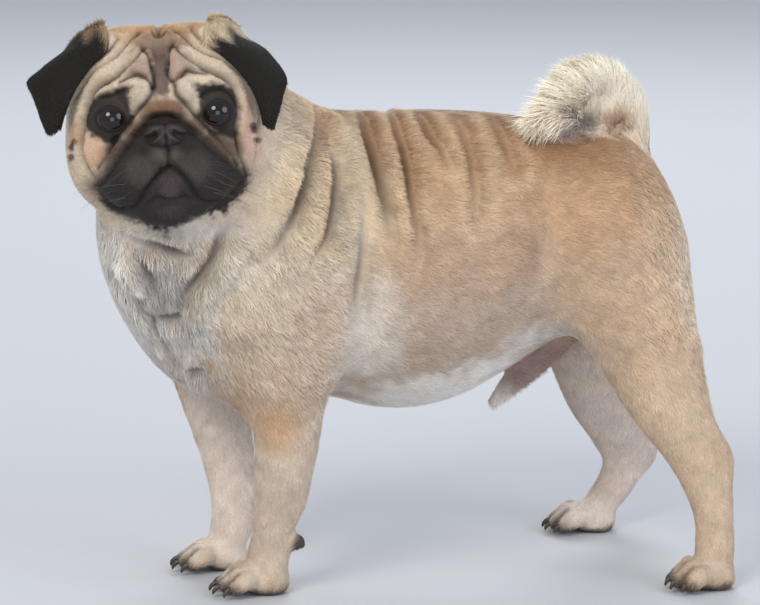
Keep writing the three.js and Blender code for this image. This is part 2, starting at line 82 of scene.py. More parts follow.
def new_object(name, mesh, *materials):
    made = bpy.data.objects.new(name, mesh)
    bpy.context.scene.collection.objects.link(made)
    for material in materials:
        mesh.materials.append(material)
    return made


MM = 0.001
LENS_FOCAL, SENSOR_WIDTH = 174.2, 36  # in millimetres
CAMERA_AT = Vector((-0.4448, -2.1193, 0.5708))
CAMERA_TURN = math.radians(12)
CAMERA_DOWN = math.radians(10.5)
look = Vector(
    (
        math.sin(CAMERA_TURN) * math.cos(CAMERA_DOWN),
        math.cos(CAMERA_TURN) * math.cos(CAMERA_DOWN),
        -math.sin(CAMERA_DOWN),
    )
)
right = Vector((math.cos(CAMERA_TURN), -math.sin(CAMERA_TURN), 0))
camera_data = bpy.data.cameras.new("camera")
camera_data.lens = LENS_FOCAL
camera_data.sensor_width = SENSOR_WIDTH
camera = bpy.data.objects.new("camera", camera_data)
bpy.context.scene.collection.objects.link(camera)
camera_axes = Matrix((right, right.cross(look), -look)).transposed()
camera.matrix_world = Matrix.Translation(CAMERA_AT) @ camera_axes.to_4x4()
bpy.context.scene.camera = camera

FLOOR_REACH = 12
FLOOR_BELOW = 0.3  # under the soles, so that the two never touch
PAPER_WAVE = 92  # the sizes of patterns are in millimetres, here and below
paper, tree, shader, place = new_material("matt_paper_backdrop")
# Matt coated paper: an even, dull white, with the faintest waves about a hand wide
unevenness = add_node(
    tree, "ShaderNodeTexNoise", {"Vector": place, "Scale": 1 / (PAPER_WAVE * MM), "Detail": 3.0}
)
relief = add_node(
    tree, "ShaderNodeBump", {"Height": unevenness.outputs[0], "Strength": 0.08, "Distance": 0.0004}
)
shader.inputs["Base Color"].default_value = (*linear("#c3c7cd"), 1)
shader.inputs["Roughness"].default_value = 0.85
tree.links.new(relief.outputs[0], shader.inputs["Normal"])
bm = bmesh.new()
bmesh.ops.create_grid(bm, x_segments=24, y_segments=24, size=FLOOR_REACH)
bmesh.ops.translate(bm, verts=bm.verts, vec=(0, 0, -FLOOR_BELOW * MM))
floor_mesh = bpy.data.meshes.new("floor")
bm.to_mesh(floor_mesh)
bm.free()
floor = new_object("floor", floor_mesh, paper)

SKY_LIGHT = 0.8
LIGHTS_AIM = Vector((-0.02, 0, 0.17))
world = bpy.data.worlds.new("studio_air")
world.use_nodes = True
sky = world.node_tree.nodes["Background"]
sky.inputs[0].default_value = (*linear("#dfe3ea"), 1)
sky.inputs[1].default_value = SKY_LIGHT
bpy.context.scene.world = world
bpy.context.scene.view_settings.view_transform = "Standard"
for name, place, width, watts, tint in [
    ("key_light", (-1.7, -2.2, 2.2), 1.4, 54, "#fff6ea"),
    ("fill_light", (1.9, -2.0, 1.3), 1.8, 30, "#eef3ff"),
    ("low_light", (-0.3, -2.4, 0.4), 1.2, 9, "#fff8f0"),
    ("rim_light", (0.6, 2.2, 2.0), 1.6, 30, "#ffffff"),
]:
    lamp = bpy.data.lights.new(name, "AREA")
    lamp.shape = "DISK"
    lamp.size = width
    lamp.energy = watts
    lamp.color = linear(tint)
    light = bpy.data.objects.new(name, lamp)
    bpy.context.scene.collection.objects.link(light)
    light.location = place
    light.rotation_euler = (LIGHTS_AIM - Vector(place)).to_track_quat("-Z", "Y").to_euler()


# The flesh: round masses of muscle and fat under loose skin, melted together, in millimetres. The head has a
# frame of its own: +X is the dog's left, -Y forwards and +Z up. The masses follow the CAD solids.
HEAD_TURN = np.array(
    Matrix.Rotation(math.radians(-8.6), 3, "Z")
    @ Matrix.Rotation(math.radians(-6.7), 3, "X")
    @ Matrix.Rotation(math.radians(-3), 3, "Y")
)
HEAD_AT = np.array([-187.0, -50.0, 286.0])
EYE_RADIUS = 11.5
EYES = {"eye_right": np.array([-30, -36.5, 5.5]), "eye_left": np.array([30, -36.5, 5.5])}


def from_head(q):
    return np.asarray(q, float) @ HEAD_TURN.T + HEAD_AT


def in_head(p):
    return (p - HEAD_AT) @ HEAD_TURN


eye_low, eye_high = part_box("eye_left")
SHIFT = np.array(eye_low + eye_high) / (2 * MM) - from_head(EYES["eye_left"])


def packed(p):
    """Places on the dog, in millimetres, as metres in the frame's own axes."""
    return (p + SHIFT) * MM


def egg(centre, radii, yaw=0, pitch=0):
    turn = np.array(
        Matrix.Rotation(math.radians(yaw), 3, "Z") @ Matrix.Rotation(math.radians(pitch), 3, "Y")
    )
    centre, radii = np.array(centre, float), np.array(radii, float)

    def depth(p):
        q = (p - centre) @ turn
        near = np.linalg.norm(q / radii, axis=1)
        slope = np.linalg.norm(q / radii**2, axis=1) + 1e-9
        return near * (near - 1) / slope

    return depth


def limb(start, end, start_radius, end_radius):
    start, axis = np.array(start, float), np.array(end, float) - np.array(start, float)

    def depth(p):
        q = p - start
        t = np.clip(q @ axis / (axis @ axis), 0, 1)
        away = np.linalg.norm(q - t[:, None] * axis, axis=1)
        return away - (start_radius + (end_radius - start_radius) * t)

    return depth


def column(rings):
    rings = np.array(rings, float)
    heights, values = rings[:, 0], rings[:, 1:]
    slopes = np.gradient(values, heights, axis=0)

    def depth(p):
        level = np.clip(p[:, 2], heights[0], heights[-1])
        i = np.clip(np.searchsorted(heights, level) - 1, 0, len(heights) - 2)
        span = heights[i + 1] - heights[i]
        t = ((level - heights[i]) / span)[:, None]
        span = span[:, None]
        ring = (
            (2 * t**3 - 3 * t**2 + 1) * values[i]
            + (t**3 - 2 * t**2 + t) * span * slopes[i]
            + (3 * t**2 - 2 * t**3) * values[i + 1]
            + (t**3 - t**2) * span * slopes[i + 1]
        )
        thin = np.minimum(ring[:, 2], ring[:, 3])
        beyond = (p[:, 2] - level) / thin
        across = np.hypot((p[:, 0] - ring[:, 0]) / ring[:, 2], (p[:, 1] - ring[:, 1]) / ring[:, 3])
        return (np.hypot(across, beyond) - 1) * thin

    return depth


def melt(softness, *masses):
    def depth(p):
        d = masses[0](p)
        for mass in masses[1:]:
            e = mass(p)
            h = np.maximum(softness - np.abs(d - e), 0) / softness
            d = np.minimum(d, e) - h * h * softness * 0.25
        return d

    return depth


def smooth_line(points, steps=4):
    """A Catmull-Rom line through the points."""
    points = np.array(points, float)
    ends = np.vstack([2 * points[0] - points[1], points, 2 * points[-1] - points[-2]])
    line = []
    for a, b, c, d in zip(ends, ends[1:], ends[2:], ends[3:]):
        for t in np.arange(steps) / steps:
            line.append(
                0.5
                * (2 * b + (c - a) * t + (2 * a - 5 * b + 4 * c - d) * t**2 + (3 * b - a - 3 * c + d) * t**3)
            )
    return np.array([*line, points[-1]])


def along_line(p, line, reach):
    """How far each point is from the line, and how far along it the nearest place is, from 0 to 1."""
    far = np.full(len(p), 1e6)
    at = np.zeros(len(p))
    near = np.all((p > line.min(0) - reach) & (p < line.max(0) + reach), axis=1)
    q = p[near]
    best, where = np.full(len(q), 1e6), np.zeros(len(q))
    for i, (a, b) in enumerate(zip(line, line[1:])):
        t = np.clip((q - a) @ (b - a) / max((b - a) @ (b - a), 1e-9), 0, 1)
        d = np.linalg.norm(q - a - t[:, None] * (b - a), axis=1)
        closer = d < best
        best[closer] = d[closer]
        where[closer] = (i + t[closer]) / (len(line) - 1)
    far[near], at[near] = best, where
    return far, at


def smoothstep(value, low, high):
    t = np.clip((value - low) / (high - low), 0, 1)
    return t * t * (3 - 2 * t)


def fold(line, height, width, ends):
    """A roll of skin, or with a height below 0 a crease, where the skin on both sides is pushed up."""

    def rise(p):
        far, at = along_line(p, line, 4.5 * width)
        fade = np.sin(np.pi * np.clip(at, 0.04, 0.96)) ** ends
        beside = 0.25 * np.exp(-(((far - 2.2 * width) / (1.3 * width)) ** 2)) if height < 0 else 0
        return height * fade * (np.exp(-((far / width) ** 2)) - beside)

    return rise


BACK, BELLY = 285, 103  # heights above the floor
body_masses = [
    egg((-39, 0, (BACK + BELLY) / 2), (98, 82, (BACK - BELLY) / 2)),
    egg((24, 0, 209), (84, 72, 71)),
    egg((-134, -8, 188), (76, 74, 76), 12),
    egg((80, 0, 218), (48, 66, 52), 0, 16),
    egg((90, -38, 190), (42, 34, 50), 6, -14),
    egg((90, 38, 190), (42, 34, 50), -6, -14),
    egg((-124, -51, 178), (38, 34, 66), 12, 8),
    egg((-108, 41, 178), (38, 34, 66), 12, 8),
    limb((-108, -3, 227), (-165, -22, 264), 63, 63),
    egg((-172, -26, 214), (50, 52, 52), 12),
]
# The loose skin: a pug has far more of it than it fills. Each line is where one fold runs over the body,
# with its height and half width. Rolls have a height above 0, and the creases between them one below.
body_folds = [
    ([(-105, -46, 290), (-109, -63, 279), (-112, -71, 266), (-117, -76, 252), (-124, -81, 240),
      (-133, -83, 230), (-144, -85, 220)], 4.5, 9),
    ([(-93, -26, 292), (-95, -39, 286), (-98, -52, 277), (-103, -67, 268), (-106, -75, 258),
      (-111, -79, 247), (-115, -82, 238), (-122, -85, 228), (-129, -86, 218), (-137, -88, 211)], -5.6, 4.2),
    ([(-93, -22, 290), (-91, -50, 274), (-89, -58, 263), (-89, -65, 253), (-91, -71, 242), (-94, -75, 231),
      (-98, -79, 221), (-105, -82, 212), (-111, -85, 201)], -3.6, 3.8),
    ([(-82, -14, 288), (-81, -28, 284), (-79, -42, 276), (-79, -55, 263), (-80, -66, 247), (-83, -74, 231),
      (-87, -79, 214), (-92, -83, 197)], 4, 8),
    ([(-64, 2, 287), (-65, -16, 284), (-66, -36, 276), (-65, -49, 266), (-64, -59, 256), (-63, -66, 245),
      (-62, -72, 234), (-62, -78, 222)], -4.6, 3.4),
    ([(-77, -75, 228), (-77, -79, 211), (-79, -80, 196), (-80, -79, 184), (-79, -76, 169)], -2.4, 3.2),
    ([(-55, -19, 282), (-56, -42, 272), (-55, -56, 259), (-54, -66, 246), (-53, -73, 232)], 3.5, 6),
    ([(-46, 2, 287), (-47, -14, 283), (-48, -35, 276), (-47, -48, 267), (-47, -58, 257), (-47, -66, 247),
      (-46, -72, 237), (-45, -78, 221), (-46, -82, 208)], -4, 3.2),
    ([(-31, -8, 286), (-30, -24, 281), (-29, -37, 275), (-25, -46, 269), (-22, -56, 260)], -3, 3.6),
    ([(-9, -14, 289), (-8, -54, 276), (-8, -74, 256), (-10, -82, 230)], -1.8, 4),
    ([(14, -10, 289), (16, -46, 278), (18, -68, 262)], -1.6, 4),
    ([(-110, 34, 300), (-104, 60, 284), (-102, 74, 260), (-110, 78, 232), (-126, 78, 204)], 5, 9),
    ([(-100, 34, 296), (-92, 58, 284), (-90, 74, 260), (-98, 78, 230), (-112, 80, 200)], -5, 4.2),
    ([(-86, 30, 293), (-78, 56, 281), (-75, 74, 260), (-80, 82, 226), (-92, 82, 180)], 4.5, 9),
    ([(-70, 16, 291), (-66, 58, 280), (-62, 78, 256), (-68, 84, 214), (-80, 84, 176)], -5, 3.8),
    ([(-48, 12, 289), (-46, 58, 276), (-46, 78, 250), (-50, 84, 214)], -4, 3.6),
    ([(-214, -60, 223), (-206, -68, 221), (-197, -74, 220), (-189, -78, 217), (-181, -81, 215),
      (-174, -83, 214)], -6.5, 3.8),
    ([(-211, -63, 229), (-202, -71, 227), (-192, -77, 224), (-181, -81, 222), (-171, -84, 222)], 5, 7),
    ([(-147, -83, 239), (-156, -84, 232), (-162, -84, 225), (-165, -84, 214), (-170, -83, 207),
      (-176, -81, 199), (-180, -78, 193), (-182, -75, 184), (-185, -70, 176)], -7, 4),
    ([(-140, -84, 227), (-151, -86, 217), (-161, -85, 207), (-170, -82, 195), (-172, -78, 181),
      (-170, -74, 165)], 6, 9),
    ([(-220, -54, 212), (-213, -62, 205), (-207, -66, 196), (-203, -65, 188)], 9, 7),
    ([(-219, -39, 196), (-213, -50, 191), (-208, -53, 183), (-202, -53, 174), (-197, -52, 166),
      (-191, -48, 155), (-184, -43, 143), (-177, -36, 133)], -7, 4.2),
    ([(34, -45, 266), (36, -60, 240), (35, -66, 216), (31, -68, 198), (29, -66, 176)], -2.4, 9),
    ([(34, 45, 266), (36, 60, 240), (35, 66, 216), (31, 68, 198), (29, 66, 176)], -2.4, 9),
    ([(-212, -63, 215), (-206, -67, 208), (-201, -69, 199), (-199, -67, 188)], -6, 3.4),
    ([(-201, -56, 177), (-193, -63, 174), (-186, -69, 175), (-181, -72, 178)], -4.6, 4),
    ([(-185, -46, 146), (-179, -46, 139), (-174, -52, 139), (-168, -63, 144)], -4.4, 4.5),
]
# The legs and paws: short straight bones in tight skin. A leg is a column of ovals, each with its height,
# its place and its half sizes, and a paw is one form turned and sized to where it stands.
legs = {
    "foreleg_left": [
        (12, -126, -32, 14, 14), (24, -125, -33, 14.5, 13), (40, -123, -39, 14, 12.5),
        (54, -120, -43, 16.5, 14), (72, -119, -49, 18.4, 16), (92, -118, -54, 20.5, 17.5),
        (112, -118, -58, 23, 19.5), (134, -118, -60, 27, 22), (155, -116, -57, 30, 23),
        (190, -112, -44, 16, 12),
    ],
    "foreleg_right": [
        (12, -141, 31, 14, 14), (24, -136, 33, 15.5, 13), (40, -134, 37, 16, 12.5), (60, -135, 44, 18, 14),
        (80, -138.5, 49, 20.5, 16), (100, -142.5, 53, 23, 18), (122, -146, 54, 26, 21),
        (146, -143, 52, 29, 23), (182, -134, 42, 16, 12),
    ],
    "hindleg_left": [
        (12, 138, -77, 13, 12.5), (22, 139, -76.5, 13, 12.5), (40, 139, -75, 12.8, 12),
        (60, 135.5, -73, 16.5, 12), (80, 130, -70, 23, 14.5), (100, 117, -67, 26, 18.5),
        (125, 106, -62, 31.5, 22.5), (150, 98, -56, 37.5, 26), (176, 92, -49, 37, 26),
        (214, 84, -34, 18, 14),
    ],
    "hindleg_right": [
        (12, 106, 77, 15, 12.5), (20, 113, 76.5, 15, 12.5), (32, 121, 75.5, 15, 12), (46, 128, 74, 19, 12),
        (60, 124, 72, 23, 14.5), (80, 113, 68, 26, 18.5), (108, 104, 62, 31, 22.5), (138, 97, 56, 37.5, 26),
        (170, 90, 49, 37, 26), (212, 82, 34, 18, 14),
    ],
}
# Each paw: where it stands, its yaw, and its share of the full length and width
paws = {
    "forepaw_left": ((-135, -31), 3, 1, 1),
    "forepaw_right": ((-149, 30), -3, 1, 1),
    "hindpaw_left": ((131, -77), 4, 0.88, 0.94),
    "hindpaw_right": ((97, 77), -4, 0.96, 0.94),
}
TOES = [-1.5, -0.5, 0.5, 1.5]
# The pads behind the wrists, and the places on them that show black
pads = [egg((-109, -42, 31), (6, 5, 7.5)), egg((-123, 40, 30), (5.5, 5, 6.5))]
PAD_SPOTS = ((-104, -42, 30), (-119, 40, 29))


def paw_place(paw, p):
    (x, y), yaw, long, wide = paws[paw]
    turn = np.array(Matrix.Rotation(math.radians(yaw), 3, "Z"))
    return p * (long, wide, 1) @ turn.T + (x, y, 0)


def paw_local(paw, p):
    (x, y), yaw, long, wide = paws[paw]
    turn = np.array(Matrix.Rotation(math.radians(yaw), 3, "Z"))
    return (p - (x, y, 0)) @ turn / (long, wide, 1)


def toe_front(toe):
    """The two middle toes reach further forwards."""
    return -12 if abs(toe) > 1 else -16.5


def paw_depth(paw):
    toes = []
    for toe in TOES:
        front = toe_front(toe)
        toes.append(limb((front + 8, toe * 8.3, 11.5), (front, toe * 9, 6.6), 7.4, 6))
    foot = melt(5, egg((5, 0, 9), (17, 15, 10.5)), egg((13, 0, 5), (11, 13, 8)))
    whole = melt(1.1, foot, *toes)
    return lambda p: whole(paw_local(paw, p))


# The tail: a plume curled over the back to the left. It rises from the rump, turns down in front and comes
# back in under itself, so that a small hole is left in the middle of the curl.
tail_line = smooth_line(
    [(108, 0, 222), (108, 0, 240), (108, -2, 260), (102, -8, 281), (88, -15, 295), (73, -23, 300),
     (58, -30, 291), (43, -36, 280)]
)
tail_inner = smooth_line([(46, -36, 284), (52, -39, 281), (58, -40, 279), (63, -39, 278)])
CURL_HOLE = (72, -34, 275)


def tube_depth(line, radii):
    def depth(p):
        far, at = along_line(p, line, 60)
        return far - np.interp(at, np.linspace(0, 1, len(radii)), radii)

    return depth


# The face: deep folds over the brow and round the short muzzle, all of it loose skin. Creases are lines of
# places (x, z) as they are seen from in front: the picture's left, then its right.
brow_creases = [
    [(-8.8, 44.3), (-14.2, 38.9), (-19, 34.7), (-23.8, 30.3), (-29.7, 26.9), (-35.5, 24.4), (-39.7, 20.1),
     (-42.8, 13.5), (-44.4, 6.8), (-45.5, 1.3), (-47, -5.4), (-47.7, -12.1), (-46.6, -17.3), (-43.9, -23.1),
     (-41.5, -26.5)],
    [(7, 45), (11.8, 40.5), (17.1, 35.9), (23.6, 31), (31.3, 27.2), (37.3, 23.4), (40.8, 18.7), (42.1, 11.8),
     (42, 3.9), (40.7, -3.9), (40.5, -10.6), (41.4, -18.6), (43.8, -26.8), (44.8, -32.7)],
]
outer_creases = [
    [(-8.9, 52.8), (-14.7, 50.9), (-19.7, 46), (-24.9, 40.7), (-30.1, 37.6), (-36.6, 33.5), (-42.7, 27.1),
     (-48.5, 19.4), (-53.2, 10.5)],
    [(9.3, 52.9), (14.6, 48.6), (19.9, 43.1), (26.4, 39), (34.1, 34.9), (40.6, 30), (46.1, 25.1), (50.4, 18),
     (52.7, 8.7), (53.2, -0.4), (51.8, -11.5), (50.6, -20.6), (47.1, -31.8)],
    [(-22.7, 50.8), (-27.5, 45.4), (-33.4, 41.2), (-38.8, 35.9), (-43.7, 30.5)],
    [(18.9, 56), (18.9, 52.9), (22.6, 48.1), (27.9, 43.2), (35.5, 38.2), (42.1, 33.3)],
]
lump_creases = [
    [(-5.1, 22.7), (-6.9, 25.6), (-9.9, 27.7), (-13.7, 29.3), (-18.3, 28.5), (-23.5, 25.8)],
    [(5.7, 25.4), (8.6, 25.8), (11.5, 27.8), (14.5, 29.9), (19, 29.1), (24.5, 27.6)],
]
roll_creases = [
    [(-5.5, 22), (-6.5, 17.7), (-10.2, 12.9), (-15, 8.7), (-19.2, 4.4), (-23.5, -1), (-27.8, -6.4),
     (-32, -11.7), (-35.8, -17.1), (-38.9, -21.5)],
    [(7.1, 22), (7.5, 17.4), (10.1, 13.9), (14.3, 9.1), (17.9, 4.4), (22.1, -0.9), (26.3, -6.3), (31, -12.2),
     (36.2, -19.2), (39.8, -25.1)],
]
band_creases = [
    [(-9.4, 44.9), (-6.5, 39.6), (-5.3, 33.9), (-4.8, 27.1), (-5.2, 21.5)],
    [(7.1, 46.2), (5, 40), (3.7, 33.4), (3.7, 28.9), (6.7, 23.1)],
]
crown_creases = [
    [(-13.6, 50.8), (-10.6, 54.1), (-6.6, 54.4), (-3.2, 53.1), (-0.6, 49.5), (3, 52.5), (6.5, 53.7),
     (10.9, 52.5)],
    [(-0.5, 49.5), (0, 56), (2, 62)],
]
lid_folds = [
    [(-41.9, 10.1), (-38.9, 15.6), (-34.7, 18.2), (-29, 19.5), (-23.2, 20.9), (-19.7, 22.4)],
    [(21.4, 15.4), (26.7, 18.6), (33, 18.6), (38.5, 14.3), (40.3, 8.6)],
]
nose_arch = [
    (-40.2, -31.7), (-36.4, -28.2), (-31.5, -22.8), (-26.6, -16.3), (-21.8, -10.5), (-16.9, -4.7),
    (-12.2, -0.4), (-7.4, 3.8), (-2.8, 5.2), (1.7, 5.2), (6, 3.5), (10.3, 0.5), (14.6, -3.2), (19.9, -8),
    (25.1, -13.9), (31.5, -19.9), (36.9, -24.9), (41.3, -30),
]
mouth_lines = [
    [(0.7, -9), (0.7, -15), (0.7, -21.1), (-3, -23.9), (-6.6, -28.1), (-10.9, -33), (-13.9, -37.3),
     (-16.5, -41.7), (-20.5, -44.6), (-26, -45.2), (-31, -43.6), (-36.5, -39.2), (-41.1, -34.7)],
    [(0.8, -21), (4.3, -23.8), (8, -27.3), (11.6, -33.2), (13.8, -38.4), (16.4, -42.4), (20.9, -44.6),
     (26.7, -44.4), (32.8, -41.6), (37.5, -37.8), (41.2, -33.5)],
]
chin_creases = [
    [(-12, -43), (-9.2, -41.6), (-5.7, -39.8), (-1.3, -41.2), (3.1, -41.8), (8.9, -40.4), (12.5, -42.4)],
]


def nearby(centre, reach, depth):
    """The depth of a mass that is only worked out near it."""

    def read(p):
        away = np.linalg.norm(p - centre, axis=1)
        d = away - reach + 30
        close = away < reach
        if close.any():
            d[close] = depth(p[close])
        return d

    return read


def over_face(places):
    """A smooth line over the face, through places (x, z) as they are seen from in front."""
    line = smooth_line([(x, -75, z) for x, z in places])
    for _ in range(40):
        line[:, 1] = np.minimum(line[:, 1] + 0.7 * (head_bulges(line) + 0.9), 12)
    return line


def face_fold(places, height, width):
    return fold(over_face(places), height, width, 0.4)


def lump(x, z, long, tall, height):
    return lambda q: height * np.exp(-(((q[:, 0] - x) / long) ** 2) - ((q[:, 2] - z) / tall) ** 2)


both = (-1, 1)
head_masses = melt(
    9,
    egg((0, 5, 6), (55, 56, 51)),
    *[egg((s * 22, 4, 22), (33, 44, 36)) for s in both],
    *[egg((s * 33, -6, -14), (25, 36, 34)) for s in both],
    egg((0, -34, -26), (38, 22, 21)),
    *[egg((s * 18, -41, -28), (20, 18, 18)) for s in both],
    egg((0, -36, -46), (21, 18, 12)),
    egg((0, 2, -36), (42, 42, 22)),
)
head_bulges = melt(
    4,
    head_masses,
    *[egg((s * 13.5, -42, 18), (9, 8.5, 8.5)) for s in both],
    *[egg((s * 10.5, -37, 34), (8, 8, 11)) for s in both],
    egg((0, -42, 8), (12, 10, 11)),
    egg((0, -47, -6), (12, 11, 8)),
    *[egg(centre, (EYE_RADIUS + 1.2,) * 3) for centre in EYES.values()],
    *[limb((s * 30, -21, 46), (s * 50, 3, 38), 9.5, 8) for s in both],
)
# The opening between the lids, seen from in front: its middle, its half sizes and how far it slants inwards
OPENING_X, OPENING_Z = 30, 5.8
OPENING_WIDE, OPENING_TALL = 8.5, 7.1
OPENING_SLANT = 0.14
SOCKET_DEPTH = 4.5


def eye_opening(q):
    """How far a place on the face is from the middle of the nearer eye, where the lids' edge is at 1."""
    x = np.abs(q[:, 0]) - OPENING_X
    z = q[:, 2] - OPENING_Z - OPENING_SLANT * np.minimum(x, 0)
    return np.hypot(x / OPENING_WIDE, z / OPENING_TALL)


def socket(q):
    return -SOCKET_DEPTH * (1 - smoothstep(eye_opening(q), 0.86, 1.08))


face_folds = (
    [face_fold(line, -4.2, 1.9) for line in brow_creases]
    + [face_fold(line, -2.6, 1.5) for line in outer_creases]
    + [face_fold(line, -3.2, 1.7) for line in lump_creases + roll_creases]
    + [face_fold(line, -2.8, 1.6) for line in band_creases + crown_creases]
    + [face_fold(line, -1.3, 1.3) for line in lid_folds]
    + [face_fold(nose_arch, -2.6, 2)]
    + [face_fold([(x * 0.93, z + 5.5) for x, z in nose_arch[1:-1]], 2.4, 4)]
    + [face_fold(line, -3, 1.6) for line in mouth_lines]
    + [face_fold(line, -2, 1.4) for line in chin_creases]
    + [face_fold([(s * 9, -12), (s * 13, -18), (s * 19, -26), (s * 25, -35)], -0.9, 2.4) for s in both]
)
face_lumps = [
    lump(-12.5, 18, 6, 6, 1.6), lump(13, 18.5, 6, 6, 1.6),
    lump(-11.5, 33, 6, 7, 1.4), lump(10.5, 34, 6, 7, 1.4),
    lump(-33, 32, 9, 5, 1.4), lump(33, 33, 9, 5, 1.4), lump(-49, 8, 4, 12, 1.6), lump(47, 8, 4, 14, 1.8),
    lump(-22, -27, 9, 9, 1.6), lump(22, -27, 9, 9, 1.6), lump(0, -47, 9, 4, 1.2), lump(0, -34, 7, 6, 0.8),
    lump(-40, -13, 5, 8, 1.2), lump(-0.5, 30, 3, 12, -1.6), lump(0, 8, 9, 5, 1.2),
]
# All of the flesh together. A mass is only worked out near itself, and folds lie a little below the surface.
SHEATH_LINE = np.array([(76, 0, 156), (54, 0, 136), (36, 0, 119), (21, 0, 103)], float)
LEG_MIDDLE_HEIGHT = 100
near_legs = [
    nearby((rings[4][1], rings[4][2], LEG_MIDDLE_HEIGHT), 150, column(rings)) for rings in legs.values()
]
smooth_body = melt(14, melt(26, *body_masses), *near_legs)
FOLD_SUNK = 2.6


def laid_on_body(points):
    """A smooth line through the points, moved to a little below the surface of the body."""
    line = smooth_line(points)
    for _ in range(5):
        d = smooth_body(line)
        slope = np.stack([smooth_body(line + step) - d for step in 0.1 * np.eye(3)], axis=1) / 0.1
        line = line - slope * ((d + FOLD_SUNK) / np.maximum((slope**2).sum(axis=1), 0.2))[:, None]
    return line


fold_lines = [laid_on_body(points) for points, _, _ in body_folds]
body_forms = [fold(line, height, width, 0.7) for line, (_, height, width) in zip(fold_lines, body_folds)]
tail_form = melt(
    4,
    tube_depth(tail_line, [9, 10, 10.5, 11.5, 12, 10.5, 8.5, 5]),
    tube_depth(tail_inner, [5, 6, 5.5, 4]),
    egg((78, -17, 282), (21, 8, 15)),
)
tail_depth = nearby((80, -18, 270), 90, tail_form)
sheath_depth = nearby((48, 0, 130), 62, tube_depth(SHEATH_LINE, [12, 12, 9.5, 5]))
paw_depths = [nearby((*place, 8), 60, paw_depth(paw)) for paw, (place, *_) in paws.items()]
head_depth = nearby(HEAD_AT, 105, lambda p: head_bulges(in_head(p)))
# What is melted on to the body, in this order, with how softly
flesh_parts = [(5, pads), (7, [sheath_depth, tail_depth]), (5, paw_depths), (6, [head_depth])]


def flesh(p):
    """How far places are above the surface of all the flesh, without the folds."""
    d = smooth_body(p)
    # What is there so far goes in as the first mass, and the next parts are melted on to it
    for softness, parts in flesh_parts:
        d = melt(softness, lambda _, d=d: d, *parts)(p)
    return d


# The skin: one closed surface over all of the flesh, thin and loose. It starts as a remesh of the solids, is
# drawn on to the flesh, inside it by the depth of the coat, and is cut finer on the face and near the folds.
def mesh_from(bm, name, smooth=False):
    for f in bm.faces:
        f.smooth = smooth
    mesh = bpy.data.meshes.new(name)
    bm.to_mesh(mesh)
    bm.free()
    return mesh


def remeshed(mesh, voxel):
    carrier = new_object("carrier", mesh)
    modifier = carrier.modifiers.new("remesh", "REMESH")
    modifier.mode = "VOXEL"
    modifier.voxel_size = voxel
    evaluated = carrier.evaluated_get(bpy.context.evaluated_depsgraph_get())
    made = bpy.data.meshes.new_from_object(evaluated)
    bpy.data.objects.remove(carrier)
    return made


def coat_depth(p):
    """How far the skin lies below the tips of the flat coat."""
    q = in_head(p)
    on_head = 1 - smoothstep(np.linalg.norm(q / (60, 62, 62), axis=1), 1.0, 1.2)
    low = 1 - smoothstep(p[:, 2], 90, 150)
    depth = 2.6 - 1.4 * low
    depth = depth * (1 - on_head) + 0.9 * on_head
    return depth + 0.9 * (1 - on_head) * (1 - smoothstep(p[:, 0], -150, -100))


# How far apart the flesh is read to find its slope, and the furthest that a vertex moves at once
PROBE = 0.3
LONGEST_MOVE = 4


def unit(vectors):
    return vectors / (np.linalg.norm(vectors, axis=1, keepdims=True) + 1e-12)


def gather(values, edges, count):
    """The mean of each vertex's neighbours."""
    total = np.zeros((len(values), 3))
    for axis in range(3):
        total[:, axis] = np.bincount(edges[:, 0], values[edges[:, 1], axis], len(values)) + np.bincount(
            edges[:, 1], values[edges[:, 0], axis], len(values)
        )
    return total / count[:, None]


def draw_on(bm, rounds, relax, chosen=slice(None)):
    """Draws the chosen vertices of a mesh on to the flesh, and evens them out along it."""
    bm.verts.index_update()
    p = np.array([v.co for v in bm.verts])
    edges = np.array([[v.index for v in e.verts] for e in bm.edges])
    count = np.bincount(edges.ravel(), minlength=len(p)).astype(float)
    for step in range(rounds):
        q = p[chosen]
        if step < rounds - 1:
            q += relax * (gather(p, edges, count)[chosen] - q)
        deep = flesh(q)
        slope = np.stack([flesh(q + PROBE * axis) - deep for axis in np.eye(3)], 1) / PROBE
        size = np.maximum((slope**2).sum(1), 0.3)
        move = -slope * ((deep + coat_depth(q)) / size)[:, None]
        far = np.linalg.norm(move, axis=1)
        p[chosen] = q + move * np.minimum(1, LONGEST_MOVE / np.maximum(far, 1e-6))[:, None]
    for v, co in zip(bm.verts, p):
        v.co = co


flesh_nodes = ["torso", "neck", "head", *legs, *paws]
bm = bmesh.new()
for name in [*flesh_nodes, "nose", *EYES]:
    bm.from_mesh(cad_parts[name].data)
bmesh.ops.remove_doubles(bm, verts=bm.verts, dist=1e-6)
# Balls along the tail and in its middle, for the remesh to join
curl_middle = [(68, -17, 280), (79, -16, 280), (90, -16, 280), (79, -16, 270), (79, -16, 290)]
for place in [*tail_line[::2], *tail_inner[::3], *np.array(curl_middle, float)]:
    bmesh.ops.create_icosphere(bm, subdivisions=2, radius=9 * MM, matrix=Matrix.Translation(packed(place)))
SKIN_VOXEL = 3
skin_mesh = remeshed(mesh_from(bm, "flesh"), SKIN_VOXEL * MM)
bm = bmesh.new()
bm.from_mesh(skin_mesh)
in_millimetres = Matrix.Diagonal((1 / MM, 1 / MM, 1 / MM, 1))
bmesh.ops.transform(bm, verts=bm.verts, matrix=Matrix.Translation(-SHIFT) @ in_millimetres)
